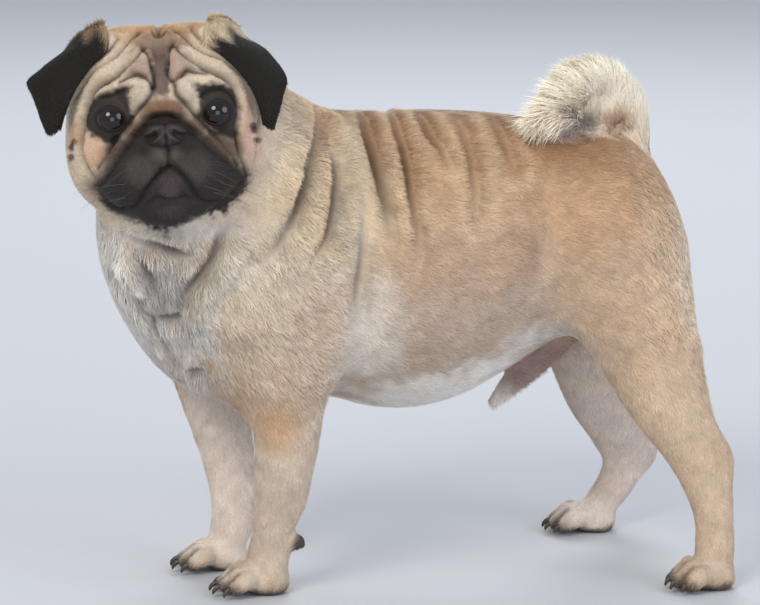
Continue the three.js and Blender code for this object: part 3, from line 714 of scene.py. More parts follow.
# A remesh leaves hollows where two solids nearly met. Only the outer surface stays.
bm.verts.ensure_lookup_table()
top = max(bm.verts, key=lambda v: v.co.z)
outer, waiting = {top}, [top]
while waiting:
    v = waiting.pop()
    for e in v.link_edges:
        w = e.other_vert(v)
        if w not in outer:
            outer.add(w)
            waiting.append(w)
bmesh.ops.delete(bm, geom=[v for v in bm.verts if v not in outer], context="VERTS")
draw_on(bm, 6, 0.6)


def on_face(bm, low, reach):
    """Which vertices are on the front of the head, above a height and ahead of a depth."""
    p = in_head(np.array([v.co for v in bm.verts]))
    inside = (p[:, 1] < reach) & (np.abs(p[:, 0]) < 60) & (p[:, 2] > low) & (p[:, 2] < 66)
    inside &= np.linalg.norm(p, axis=1) < 90
    return inside


def near_folds(bm, spread):
    p = np.array([v.co for v in bm.verts])
    near = np.zeros(len(p), bool)
    for line, (_, _, width) in zip(fold_lines, body_folds):
        near |= along_line(p, line, 4 * width)[0] < spread * width
    return near


def cut_finer(bm, within, drawn):
    """Halves the edges inside a part of the skin and draws the new vertices on to the flesh."""
    bm.verts.index_update()
    inside = within(bm)
    chosen = [e for e in bm.edges if inside[e.verts[0].index] and inside[e.verts[1].index]]
    bmesh.ops.subdivide_edges(bm, edges=chosen, cuts=1, use_grid_fill=True)
    bmesh.ops.triangulate(bm, faces=[f for f in bm.faces if len(f.verts) > 4])
    draw_on(bm, 3, 0.5, drawn(bm))


for low, reach in ((-60, 4), (-54, -12)):
    cut_finer(bm, lambda bm: on_face(bm, low, reach), lambda bm: on_face(bm, low - 2, reach + 2))
cut_finer(bm, lambda bm: near_folds(bm, 2.2), lambda bm: near_folds(bm, 2.6))
# The folds, the sockets and the small lumps are pushed in and out of this smooth skin
smooth_points = np.array([v.co for v in bm.verts])
deep = flesh(smooth_points)
outward = unit(np.stack([flesh(smooth_points + PROBE * axis) - deep for axis in np.eye(3)], axis=1))
rise = sum(form(smooth_points) for form in body_forms)
q = in_head(smooth_points)
front = np.clip((-q[:, 1] - 2) / 14, 0, 1) * smoothstep(-np.linalg.norm(q, axis=1), -100, -90)
calm = 1 - (1 - smoothstep(eye_opening(q), 1.25, 1.6)) * (front > 0)
rise += calm * (sum(form(q) for form in face_folds) + front * sum(form(q) for form in face_lumps))
rise += front * socket(q)
HOLE_FLOOR, HOLE_DEPTH, HOLE_WIDE = (73, -32, 274.5), 5, 6
rise -= HOLE_DEPTH * np.exp(-((np.linalg.norm(smooth_points - HOLE_FLOOR, axis=1) / HOLE_WIDE) ** 2))
skin_points = smooth_points + outward * rise[:, None]
skin_points[:, 2] = np.maximum(skin_points[:, 2], 0.1)
for v, co in zip(bm.verts, packed(skin_points)):
    v.co = co


# The markings, shared by the skin and the coat: fawn, paler below and on the chest, brown along the spine,
# with a black mask, dark creases and a thumb mark on the forehead. Each is a soft patch where the colour
# changes. Some of it is painted light and shade: the creases are partly dark skin and partly painted shade,
# the belly and the far legs are lightened with painted fill light, the tops of the rolls carry a painted
# highlight, the face's cream rings are brightened with painted light against the ears' shadow, the soles,
# the gaps between the toes and a hollow low on the chest carry painted shade, and the hole in the tail's
# curl is painted shadow.
def blend_in(colours, weight, hex_colour):
    return colours + weight[:, None] * (np.array(linear(hex_colour)) - colours)


def waves(p, size, seed):
    """Smooth noise from -1 to 1, made of crossing waves about as long as the size."""
    draw = np.random.default_rng(seed)
    total = np.zeros(len(p))
    for _ in range(9):
        aim = draw.normal(size=3)
        aim *= (2 * np.pi / size) * draw.uniform(0.6, 1.7) / np.linalg.norm(aim)
        total += np.sin(p @ aim + draw.uniform(0, 6.3))
    return total / 4.5


def inside(x, z, outline):
    """How far each place on the face lies inside a closed outline, below 0 outside it."""
    outline = np.array(outline, float)
    far = np.full(len(x), 1e6)
    within = np.zeros(len(x), bool)
    for (ax, az), (bx, bz) in zip(outline, np.roll(outline, -1, axis=0)):
        t = np.clip(((x - ax) * (bx - ax) + (z - az) * (bz - az)) / ((bx - ax) ** 2 + (bz - az) ** 2), 0, 1)
        far = np.minimum(far, np.hypot(x - ax - t * (bx - ax), z - az - t * (bz - az)))
        within ^= ((az > z) != (bz > z)) & (x < (bx - ax) * (z - az) / (bz - az + 1e-9) + ax)
    return np.where(within, far, -far)


# Places are (x, distance from the middle, z), half sizes, colour and strength
body_patches = [
    ((10, 30, 268), (175, 75, 36), "#b08660", 0.8),
    ((20, 60, 230), (80, 50, 26), "#c5a584", 0.7),
    ((-8, 76, 195), (60, 40, 40), "#bfa48e", 0.7),
    ((-20, 70, 150), (120, 60, 42), "#c3b1a1", 0.85),
    # The pale belly, lightened further as painted fill light for its shaded underside
    ((-15, 0, 96), (125, 100, 42), "#f2ebe4", 0.95),
    ((-12, 64, 114), (66, 44, 20), "#fbf6f0", 0.8),
    ((44, 60, 146), (38, 30, 18), "#f0eae4", 0.8),
    ((-88, 75, 246), (36, 45, 56), "#ccbaa0", 0.85),
    # Dark patches along the neck's crease: partly dark skin, partly painted shade
    ((-95, 62, 264), (6, 20, 22), "#92735a", 0.75),
    ((-98, 76, 238), (7, 18, 20), "#9a7c66", 0.75),
    ((-80, 45, 266), (9, 28, 24), "#cdc2ae", 0.8),
    ((-86, 74, 226), (11, 20, 36), "#c9c0b0", 0.8),
    ((-105, 78, 172), (46, 40, 44), "#ccb8a4", 0.8),
    ((-152, 74, 184), (36, 40, 50), "#cbbca8", 0.8),
    ((-140, 20, 262), (46, 95, 56), "#d6c9af", 0.9),
    ((-140, 62, 205), (44, 40, 36), "#d4cab8", 0.7),
    ((-205, 20, 190), (58, 76, 66), "#dad8d4", 0.95),
    ((-160, 85, 207), (12, 16, 14), "#ddd5c6", 0.8),
    ((-171, 80, 188), (12, 16, 20), "#d8d0c3", 0.8),
    ((-172, 72, 165), (12, 16, 14), "#cbc9c4", 0.8),
    ((-193, 64, 196), (14, 22, 20), "#a5a2a0", 0.85),
    ((-214, 62, 206), (8, 14, 13), "#f6f3ee", 0.95),
    ((-205, 66, 193), (7, 12, 9), "#f4f1ec", 0.95),
    # A dark patch low on the chest, in the hollow beside the foreleg: painted shadow
    ((-154, 82, 164), (13, 14, 8), "#8e8278", 0.4),
    ((-170, 12, 138), (44, 50, 24), "#d0cbc6", 0.8),
    ((-122, 52, 70), (34, 34, 74), "#dfcebb", 0.9),
    ((-126, 60, 112), (16, 26, 20), "#d4ab80", 0.6),
    ((98, 62, 178), (60, 36, 64), "#ccb297", 0.85),
    ((60, 70, 232), (30, 30, 26), "#c9a27e", 0.6),
    ((24, 76, 208), (9, 20, 16), "#9b7d6e", 0.2),
    ((136, 44, 186), (26, 56, 66), "#e2d1bb", 0.85),
    ((112, 70, 104), (50, 36, 48), "#dac3a9", 0.85),
    ((136, 76, 48), (34, 24, 40), "#d9c2a9", 0.85),
    ((112, 18, 252), (42, 44, 26), "#c6aa8e", 0.7),
    ((20, 62, 128), (40, 36, 18), "#f4eee8", 0.75),
    ((-72, 75, 150), (22, 30, 50), "#e2dbd2", 0.7),
    ((52, 12, 126), (40, 22, 20), "#b09790", 0.9),
    ((-140, 31, 12), (24, 22, 12), "#eadbc8", 0.8),
    ((-149, 31, 20), (8, 9, 6), "#b27d50", 0.75),
    ((119, 78, 18), (8, 9, 7), "#a67b57", 0.75),
    ((128, 77, 12), (24, 22, 12), "#e2cfba", 0.7),
]
# The far legs are pale on their inner side, and these patches lighten them further as painted fill light for
# the shade that side stands in
far_legs_pale_and_fill_light = [
    ((-144, 38, 60), (34, 26, 74), "#eaded2", 0.9),
    ((-150, 34, 14), (30, 26, 18), "#efe2d4", 0.9),
    ((100, 72, 70), (56, 34, 84), "#d8c6b8", 0.8),
    ((98, 77, 14), (28, 24, 14), "#efe4d8", 0.85),
]
head_patches = [
    ((0, -4, 62), (44, 52, 20), "#c09a6e", 0.9),
    ((0, -30, 46), (17, 22, 9), "#957a67", 0.85),
    ((-11, -45, 33), (6.5, 12, 8), "#b4998a", 0.8),
    ((10.5, -45, 33), (6.5, 12, 8), "#b4998a", 0.8),
    ((-13, -48, 18), (7, 12, 7), "#cdbdab", 0.9),
    ((13.5, -48, 18.5), (7, 12, 7), "#cdbdab", 0.9),
    ((0, -50, 10), (12, 10, 5), "#80563c", 0.8),
    ((-20, -50, 0), (9, 12, 6), "#74594a", 0.8),
    ((20, -50, 0), (9, 12, 6), "#6e5547", 0.8),
    ((-28, -46, -13), (9, 14, 9), "#594a41", 0.9),
    ((30, -46, -13), (10, 14, 11), "#55463d", 0.9),
    ((0, -54, 5.5), (12, 12, 3), "#3b302b", 0.9),
    ((-40, -40, -12), (6.5, 14, 10), "#d0a88c", 0.75),
    ((39, -40, -14), (5.5, 14, 9), "#6a564a", 0.85),
    ((-51, -25, -2), (6, 20, 9), "#c49372", 0.6),
    ((48, -30, -6), (7, 20, 20), "#c79c8a", 0.6),
    ((0, -20, -66), (60, 50, 14), "#dcd6cf", 0.85),
    ((0, -44, -62), (20, 22, 7), "#625b56", 0.75),
]
eye_patches = [
    [(-44.6, 6.3), (-42.5, 12.4), (-38.2, 17.6), (-33.5, 20), (-26.6, 21.4), (-21.4, 23.4), (-16.9, 22.7),
     (-18.6, 19), (-18.8, 11.1), (-17.1, 6.5), (-19.4, 1.6), (-26, -4.3), (-29.6, -9.1), (-35.1, -6),
     (-39.5, -3.5), (-43.3, 0)],
    [(17.3, 21.9), (25.3, 21.7), (34.4, 21.4), (39.8, 17.6), (42.2, 9.5), (41.6, 0.6), (40.4, -8.4),
     (36.3, -9.2), (32.5, -7.3), (27, -4.1), (22.8, 0.7), (18.5, 4), (20.7, 13.2), (18.8, 19)],
]
mask_outline = nose_arch + [
    (45.4, -31.6), (43.4, -38.5), (37.3, -45.1), (30.1, -50.1), (20.8, -51), (12.7, -52.7), (5.7, -55.9),
    (-2.4, -58), (-10.3, -56), (-18.1, -53.3), (-27, -51.2), (-33.5, -47.1), (-38.7, -40.2),
]
mask_patches = [
    ((-14, -56, -24), (9, 12, 9), "#4b4645", 0.7),
    ((15, -56, -24), (9, 12, 9), "#484342", 0.7),
    ((0.5, -56, -33), (7, 12, 7), "#54484a", 0.6),
    ((1, -52, -48), (8, 12, 3.5), "#3d3a3b", 0.7),
    ((0, -58, -15), (10, 12, 6), "#5e5850", 0.8),
]
moles = [(-51.2, -6.4), (-53.1, -9.2), (-54, -15), (49.3, -3.4), (49.8, -5.7), (51.2, -11.5)]
# Lines on the face painted darker, with widths and strengths: partly the darker skin in the creases, partly
# painted shade
face_crease_shade = [
    *[(line, 1.3, 1.0) for line in brow_creases + roll_creases + lump_creases],
    *[(line, 0.8, 0.75) for line in outer_creases],
    *[(line, 1.3, 1.0) for line in band_creases + lid_folds + crown_creases],
    *[(line, 1.2, 0.85) for line in mouth_lines + chin_creases],
    (nose_arch, 2, 0.8),
]
face_crease_shade = [(over_face(places), width, strength) for places, width, strength in face_crease_shade]
# Rings of cream hair round the outer face, painted brighter still: painted light against the ears' shadow
cream_and_lit_rings = [
    over_face([(-30, 50), (-36, 44), (-43, 36), (-49.5, 24), (-54, 11), (-55.5, -2)]),
    over_face([(27, 53), (36, 41), (42, 32), (47.5, 22), (51, 10), (52.5, -2)]),
]
SPINE = smooth_line([(-78, 0, 289), (-30, 0, 289), (20, 0, 288), (56, -8, 284)])


def patched(colours, p, patches, shaken=0.0):
    for centre, sizes, colour, strength in patches:
        away = np.linalg.norm((p - centre) / sizes, axis=1) + shaken
        colours = blend_in(colours, strength * (1 - smoothstep(away, 0.55, 1.3)), colour)
    return colours


def tail_share(p):
    """1 on the tail and 0 on the body."""
    return (1 - smoothstep(tail_depth(p), 0.5, 5)) * smoothstep(p[:, 2], 246, 266)


def head_share(q):
    """1 on the head and 0 on the body, for places in the head's frame."""
    skull = 1 - smoothstep(np.linalg.norm((q - (0, 4, 0)) / (62, 64, 66), axis=1), 0.98, 1.12)
    face = smoothstep(-q[:, 1], 8, 22) * (1 - smoothstep(-q[:, 2], 62, 70))
    return np.maximum(skull, face)


def crease_share(p):
    """1 at the bottom of the body's deep creases and 0 away from them."""
    share = np.zeros(len(p))
    for line, (_, height, width) in zip(fold_lines, body_folds):
        if height < 0:
            far, at = along_line(p, line, 3 * width)
            deep = np.exp(-((far / (0.85 * width)) ** 2)) * np.sin(np.pi * np.clip(at, 0.06, 0.94)) ** 0.9
            share = np.maximum(share, deep * min(1, 0.2 - height / 6) * (width < 6))
    return share


def markings(p, normals, creases):
    """The coat's colour at places on the body, in millimetres, with its painted light and shade."""
    mottle = waves(p, 26, 3) * 0.16 + waves(p, 9, 4) * 0.09
    folded_out = p * (1, 0, 1) + np.abs(p) * (0, 1, 0)
    colours = np.tile(linear("#c6ab8e"), (len(p), 1))
    colours = patched(colours, folded_out, body_patches, mottle)
    # Painted fill light on the far legs, over their pale colour
    colours = patched(colours, p, far_legs_pale_and_fill_light, mottle)
    inner = smoothstep(-normals[:, 1] * np.sign(p[:, 1]), 0.1, 0.7) * (1 - smoothstep(p[:, 2], 120, 160))
    colours = blend_in(colours, 0.75 * inner * smoothstep(p[:, 2], 14, 30), "#e3d6cc")
    far, _ = along_line(p, SPINE, 40)
    saddle = np.exp(-((far / 22) ** 2)) * (0.8 + waves(p, 16, 8) * 0.4).clip(0, 1)
    colours = blend_in(colours, 0.9 * saddle, "#6b4a33")
    grey = 1 - smoothstep(p[:, 0], -150, -135)
    # On the upper body the tops of the rolls beside the creases are painted lighter: a painted highlight where
    # the light from above falls on them
    for line, (_, height, width) in zip(fold_lines, body_folds):
        if height < 0 and width < 6:
            far, _ = along_line(p, line, 5 * width)
            crest = np.exp(-(((far - 2.3 * width) / width) ** 2)) * smoothstep(p[:, 2], 195, 235)
            colours = blend_in(colours, 0.4 * crest * (1 - grey), "#ead2b0")
    # The creases are darkened: partly the darker skin in them, partly painted shade where the folds close
    colours = blend_in(colours, 0.9 * creases * (1 - grey), "#4e3627")
    colours = blend_in(colours, 0.88 * creases * grey, "#544c48")
    # The paws are darker round the soles and between the toes: partly dark hair, partly painted shade where
    # the paw meets the floor and in the gaps between the toes
    low = p[:, 2] + waves(p, 7, 9) * 2
    for paw in paws:
        q = paw_local(paw, p)
        here = (np.abs(q[:, 0]) < 30) & (np.abs(q[:, 1]) < 30) & (p[:, 2] < 26)
        between = np.exp(-((((q[:, 1] + 4.5) % 9 - 4.5) / 1.5) ** 2)) * smoothstep(-q[:, 0], 3, 11)
        colours = blend_in(colours, 0.75 * here * between * (np.abs(q[:, 1]) < 12), "#5d4b40")
        toe = smoothstep(-q[:, 0], 4, 16)
        sole = 1 - smoothstep(low, 2 + 2.5 * toe, 6 + 8 * toe)
        colours = blend_in(colours, 0.9 * here * sole, "#413833")
    for centre in PAD_SPOTS:
        spot = np.linalg.norm(p - centre, axis=1)
        colours = blend_in(colours, 0.92 * (1 - smoothstep(spot, 7.5, 11)), "#322c2a")
    plume = tail_share(p)
    colours = blend_in(colours, 0.98 * plume, "#fff1de")
    # Round the curl's hole: fawn hair behind it, the hair in front of it painted grey as painted shade, and
    # the hole painted near black as painted shadow
    for centre, sizes, strength, colour in (
        ((92, -25, 268), (17, 24, 11), 0.7, "#d3ab84"), ((66, -36, 276), (14, 20, 8), 0.8, "#8a8480"),
        (CURL_HOLE, (8, 20, 6), 1, "#120f0e"),
    ):
        away = np.linalg.norm((p - centre) / sizes, axis=1)
        colours = blend_in(colours, strength * plume * (1 - smoothstep(away, 0.4, 1.2)), colour)
    q = in_head(p)
    on_head = head_share(q) * (1 - 0.7 * smoothstep(q[:, 1], 10, 40))
    face = np.tile(linear("#dccab3"), (len(p), 1))
    flat = q * (1, 0, 1)
    far, _ = along_line(flat, smooth_line([(x, 0, z) for x, z in nose_arch]), 22)
    face = blend_in(face, 0.85 * np.exp(-((far / 7) ** 2)) * smoothstep(-q[:, 1], 10, 24), "#5a493f")
    face = patched(face, q, head_patches, waves(p, 8, 5) * 0.12)
    x, z = q[:, 0] + waves(p, 5, 6) * 0.9, q[:, 2] + waves(p, 5, 7) * 0.9
    front = smoothstep(-q[:, 1], 5, 22)
    band = np.abs(x + 0.4) / (4.6 + 1.5 * smoothstep(z, 34, 46))
    shown = (1 - smoothstep(band, 0.7, 1.25)) * smoothstep(z, 13, 19) * (1 - smoothstep(z, 38, 50))
    face = blend_in(face, 0.9 * shown * front, "#5e4e46")
    for outline in eye_patches:
        face = blend_in(face, 0.96 * smoothstep(inside(x, z, outline), -2.4, 1.6) * front, "#1c1817")
    ragged = 1.5 * smoothstep(-z, 36, 50) * waves(p, 5, 15)
    mask = smoothstep(inside(x, z + ragged, mask_outline), -2.6, 1.6) * front
    dark = patched(np.tile(linear("#2e2a29"), (len(p), 1)), q, mask_patches)
    face = face + mask[:, None] * (dark - face)
    # Cream rings, brightened as painted light against the ears' shadow
    for line in cream_and_lit_rings:
        far, _ = along_line(q, line, 16)
        face = blend_in(face, 0.92 * np.exp(-((far / 5) ** 2)), "#fff3e2")
    # Darker along the face's creases: partly dark skin, partly painted shade
    for line, width, strength in face_crease_shade:
        far, _ = along_line(q, line, 9)
        face = face * (1 - (0.8 * strength * np.exp(-((far / width) ** 2)))[:, None])
    for mole_x, mole_z in moles:
        spot = np.hypot(q[:, 0] - mole_x, q[:, 2] - mole_z)
        face = blend_in(face, 0.85 * front * (1 - smoothstep(spot, 1.4, 2.8)), "#33292a")
    colours = colours + on_head[:, None] * (face - colours)
    return colours * (1 + 0.09 * waves(p, 4, 11) + 0.07 * waves(p, 15, 12))[:, None].clip(0.5, 1.5)


def paint(mesh, colours):
    layer = mesh.attributes.new("coat", "FLOAT_COLOR", "POINT")
    rgba = np.concatenate([colours, np.ones((len(colours), 1))], axis=1).astype(np.float32)
    layer.data.foreach_set("color", rgba.ravel())


STUBBLE = 1.11
hide, tree, shader, place = new_material("dog_skin_under_short_hair")
# Skin under the roots of the coat: the coat's own colour, a little darker as painted shade under the hair,
# with the grain of short hair
coat_colour = add_node(tree, "ShaderNodeAttribute", attribute_name="coat")
stubble = add_node(tree, "ShaderNodeTexNoise", {"Vector": place, "Scale": 1 / (STUBBLE * MM), "Detail": 4.0})
shade = add_node(
    tree, "ShaderNodeMixRGB", {"Fac": 0.35, "Color1": coat_colour.outputs[0], "Color2": stubble.outputs[0]},
    blend_type="MULTIPLY",
)
relief = add_node(
    tree, "ShaderNodeBump", {"Height": stubble.outputs[0], "Strength": 0.4, "Distance": 0.0005}
)
tree.links.new(shade.outputs[0], shader.inputs["Base Color"])
tree.links.new(relief.outputs[0], shader.inputs["Normal"])
shader.inputs["Roughness"].default_value = 0.72
shader.inputs["Specular IOR Level"].default_value = 0.25

skin = new_object("skin", mesh_from(bm, "skin", smooth=True), hide)
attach(skin, "root")
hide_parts(*flesh_nodes, "tail")


def normals_of(mesh):
    normals = np.zeros(len(mesh.vertices) * 3, np.float32)
    mesh.vertices.foreach_get("normal", normals)
    return normals.reshape(-1, 3).astype(float)


skin_normals = normals_of(skin.data)
skin_creases = crease_share(smooth_points)
skin_colours = markings(smooth_points, skin_normals, skin_creases)
# The skin is painted darker than the coat: painted shade under the hair
SKIN_SHADE = 0.9
paint(skin.data, skin_colours * SKIN_SHADE)


# The eyes: large, dark brown and wet, with a thin rim of white at the outer corner. Each is a ball with the
# cornea's swelling, its colours in rings round the line of sight.
EYE_RINGS = [
    (0.0, "#06050a"), (0.22, "#07060b"), (0.27, "#140c09"), (0.4, "#20130c"), (0.47, "#0d0807"),
    (0.53, "#574a42"), (0.62, "#8b7f76"), (1.0, "#8c6f66"),
]
IRIS_FLECK = 0.04
eye_wet, tree, shader, place = new_material("wet_brown_eye")
# A wet cornea over a brown iris: sharp highlights, with the pupil and the iris nearly one dark. The colours
# lie in rings by the angle from the line of sight, as a share of a right angle.
angle = add_node(tree, "ShaderNodeAttribute", attribute_name="sight")
fleck = add_node(
    tree, "ShaderNodeTexNoise", {"Vector": place, "Scale": 1 / (IRIS_FLECK * MM), "Detail": 3.0}
)
ramp = add_node(tree, "ShaderNodeValToRGB", {"Fac": angle.outputs["Fac"]})
ramp.color_ramp.interpolation = "EASE"
for at, _ in EYE_RINGS[2:]:
    ramp.color_ramp.elements.new(at)
for element, (at, colour) in zip(ramp.color_ramp.elements, EYE_RINGS):
    element.position = at
    element.color = (*linear(colour), 1)
mix = add_node(
    tree, "ShaderNodeMixRGB", {"Fac": 0.3, "Color1": ramp.outputs[0], "Color2": fleck.outputs[0]},
    blend_type="MULTIPLY",
)
tree.links.new(mix.outputs[0], shader.inputs["Base Color"])
shader.inputs["Roughness"].default_value = 0.12
shader.inputs["Specular IOR Level"].default_value = 0.2
shader.inputs["Coat Weight"].default_value = 0.55
shader.inputs["Coat Roughness"].default_value = 0.03
# Where each eye looks, and how the cornea stands out of the ball, as a share of its radius, up to an angle
SIGHT = {"eye_right": Vector((0.14, -0.985, 0.06)), "eye_left": Vector((-0.02, -0.995, 0.09))}
CORNEA_RISE, CORNEA_ANGLE = 0.055, 0.72
for name, centre in EYES.items():
    gaze = SIGHT[name].normalized()
    bm = bmesh.new()
    bmesh.ops.create_uvsphere(bm, u_segments=64, v_segments=40, radius=1)
    bmesh.ops.rotate(bm, verts=bm.verts, matrix=Vector((0, 0, 1)).rotation_difference(gaze).to_matrix())
    sight = []
    for v in bm.verts:
        away = v.co.normalized().angle(gaze)
        bulge = CORNEA_RISE * max(0.0, 1 - (away / CORNEA_ANGLE) ** 2)
        v.co = packed(from_head(centre + np.array(v.co.normalized()) * EYE_RADIUS * (0.985 + bulge)))
        sight.append(away / (math.pi / 2))
    mesh = mesh_from(bm, name + "_ball", smooth=True)
    mesh.attributes.new("sight", "FLOAT", "POINT").data.foreach_set("value", np.array(sight, np.float32))
    ball = new_object(name + "_ball", mesh, eye_wet)
    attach(ball, "root")
    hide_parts(name)


# The lids: a black, moist rim of bare skin round each eye, thicker above and lower at the inner corner. Each
# is a band of rings laid on the eyeball, from inside the opening out under the hair.
LID_GRAIN = 0.05
lid_skin, tree, shader, place = new_material("moist_black_lid_skin")
# Damp bare skin: nearly black, with a soft shine broken by fine wrinkles
grain = add_node(tree, "ShaderNodeTexNoise", {"Vector": place, "Scale": 1 / (LID_GRAIN * MM), "Detail": 3.0})
relief = add_node(tree, "ShaderNodeBump", {"Height": grain.outputs[0], "Strength": 0.35, "Distance": 0.0003})
ramp = add_node(tree, "ShaderNodeValToRGB", {"Fac": grain.outputs[0]})
ramp.color_ramp.elements[0].color = (*linear("#080707"), 1)
ramp.color_ramp.elements[1].color = (*linear("#151212"), 1)
tree.links.new(ramp.outputs[0], shader.inputs["Base Color"])
tree.links.new(relief.outputs[0], shader.inputs["Normal"])
shader.inputs["Roughness"].default_value = 0.5
shader.inputs["Specular IOR Level"].default_value = 0.3
# Each ring of the band: how far outside the opening it is, and how far it stands off the eyeball
LID_RINGS = [(-1.2, -1.2), (-1.0, 0.05), (-0.6, 0.35), (-0.1, 0.5), (0.5, 0.5), (1.2, 0.2), (2, -1)]


def joined_up(bm, loops):
    """Faces between loops of vertices, from each to the next."""
    for a, b in zip(loops, loops[1:]):
        for i in range(len(a)):
            bm.faces.new((a[i], a[i - 1], b[i - 1], b[i]))


for name, centre in EYES.items():
    side = 1 if name == "eye_left" else -1
    bm = bmesh.new()
    loops = []
    for grow, lift in LID_RINGS:
        loop = []
        for a in np.linspace(0, 2 * np.pi, 96, endpoint=False):
            x, z = (OPENING_WIDE + grow) * math.cos(a), (OPENING_TALL + grow) * math.sin(a)
            z += OPENING_SLANT * min(x, 0)
            x, z = OPENING_X + x - abs(centre[0]), z + OPENING_Z - centre[2]
            swell = lift + 0.25 * max(0, lift) * max(0, math.sin(a))
            y = -math.sqrt(EYE_RADIUS**2 - x**2 - z**2) - swell
            loop.append(bm.verts.new(packed(from_head(centre + np.array([side * x, y, z])))))
        loops.append(loop)
    joined_up(bm, loops)
    bmesh.ops.recalc_face_normals(bm, faces=bm.faces)
    if side < 0:
        bmesh.ops.reverse_faces(bm, faces=bm.faces)
    lid = new_object("lids_" + name, mesh_from(bm, "lids_" + name, smooth=True), lid_skin)
    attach(lid, "root")


# The nose: black pebbled leather, always moist, with comma-shaped nostrils and a groove down the middle. It
# is a ball whose points are moved out to the leather's form, and it is sunk into the top of the muzzle.
NOSE_PEBBLE, NOSE_MOTTLE = 0.2, 0.1
leather, tree, shader, place = new_material("moist_nose_leather")
# Bare, pebbled and damp: nearly black, with a broken shine along the upper edges
pebbles = add_node(
    tree, "ShaderNodeTexVoronoi", {"Vector": place, "Scale": 1 / (NOSE_PEBBLE * MM), "Randomness": 1.0},
    feature="DISTANCE_TO_EDGE",
)
relief = add_node(
    tree, "ShaderNodeBump", {"Height": pebbles.outputs["Distance"], "Strength": 0.5, "Distance": 0.0004}
)
mottle = add_node(tree, "ShaderNodeTexNoise", {"Vector": place, "Scale": 1 / (NOSE_MOTTLE * MM)})
ramp = add_node(tree, "ShaderNodeValToRGB", {"Fac": mottle.outputs[0]})
ramp.color_ramp.elements[0].color = (*linear("#1c1919"), 1)
ramp.color_ramp.elements[1].color = (*linear("#423d3c"), 1)
tree.links.new(ramp.outputs[0], shader.inputs["Base Color"])
tree.links.new(relief.outputs[0], shader.inputs["Normal"])
shader.inputs["Roughness"].default_value = 0.4
shader.inputs["Specular IOR Level"].default_value = 0.35
shader.inputs["Coat Weight"].default_value = 0.1
nose_depth = melt(3, egg((0, -52, -3.5), (11.5, 9, 5.5)), egg((0, -53, -8), (7, 7, 4)))


def groove(places, height, width, ends=0.4):
    """A fold on the nose. Depth is left out of the distance, so that it follows the leather as it lies."""
    flat = fold(smooth_line([(x, 0, z) for x, z in places]), height, width, ends)
    return lambda q: flat(q * (1, 0, 1))


nostril = [(3.6, -3), (5.4, -4.2), (8, -6), (11, -7.2), (13, -8)]
nostril_forms = [groove([(s * x, z) for x, z in nostril], -5.2, 1.35, 0.7) for s in both] + [
    groove([(0, 2), (0, -3), (0.3, -8), (0.5, -13)], -1.5, 0.8),
    lump(-7, 0.5, 3, 2, 0.8), lump(7, 0.5, 3, 2, 0.8), lump(0, -3.5, 2, 3, 0.7),
]
bm = bmesh.new()
bmesh.ops.create_icosphere(bm, subdivisions=6, radius=1)
rays = np.array([v.co for v in bm.verts])
middle = np.array([0, -50, -4.5])
reach = np.zeros(len(rays))
for step in (4, 2, 1, 0.5, 0.25, 0.12, 0.06, 0.03):
    for _ in range(4):
        q = middle + rays * (reach + step)[:, None]
        reach = np.where(nose_depth(q) - sum(form(q) for form in nostril_forms) < 0, reach + step, reach)
nose_points = middle + rays * reach[:, None]
for v, co in zip(bm.verts, packed(from_head(nose_points))):
    v.co = co
nose = new_object("nose_leather", mesh_from(bm, "nose_leather", smooth=True), leather)
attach(nose, "root")
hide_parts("nose")


# The whiskers: stiff dark hairs in rows on the flews, each bent a little down by its own weight. Each is a
# three-sided tube that tapers from a root on the skin.
WHISKER_MOTTLE = 0.27
bristle, tree, shader, place = new_material("stiff_dark_whisker")
# Thick single hairs: dark, smooth and a little shiny
mottle = add_node(tree, "ShaderNodeTexNoise", {"Vector": place, "Scale": 1 / (WHISKER_MOTTLE * MM)})
ramp = add_node(tree, "ShaderNodeValToRGB", {"Fac": mottle.outputs[0]})
ramp.color_ramp.elements[0].color = (*linear("#0f0d0d"), 1)
ramp.color_ramp.elements[1].color = (*linear("#3a3433"), 1)
tree.links.new(ramp.outputs[0], shader.inputs["Base Color"])
shader.inputs["Roughness"].default_value = 0.35
WHISKER_ROOTS = [(17, -20), (22, -23), (27, -27), (19, -27), (24, -31), (29, -34), (20, -35), (25, -39)]
WHISKER_GIRTH, WHISKER_DROOP = 0.2, 4.5
draw = np.random.default_rng(5)
face_points = in_head(skin_points)
face_points = face_points[face_points[:, 1] < -25]
bm = bmesh.new()
for side in both:
    for x, z in WHISKER_ROOTS:
        root = face_points[np.argmin(np.hypot(face_points[:, 0] - side * x, face_points[:, 2] - z))]
        aim = unit(np.array([[side, draw.uniform(-0.1, 0.25), draw.uniform(-0.5, 0.05)]]))[0]
        long = draw.uniform(17, 29)
        loops = []
        for t in np.linspace(0, 1, 7):
            middle = root + aim * long * t - (0, 0, WHISKER_DROOP * t * t)
            girth = WHISKER_GIRTH * (1 - 0.8 * t)
            around = [middle + girth * np.array((0, math.cos(a), math.sin(a))) for a in (0, 2.1, 4.2)]
            loops.append([bm.verts.new(packed(from_head(place))) for place in around])
        joined_up(bm, loops)
        bm.faces.new(loops[0])
        bm.faces.new(loops[-1])
bmesh.ops.recalc_face_normals(bm, faces=bm.faces)
whiskers = new_object("whiskers", mesh_from(bm, "whiskers"), bristle)
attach(whiskers, "root")


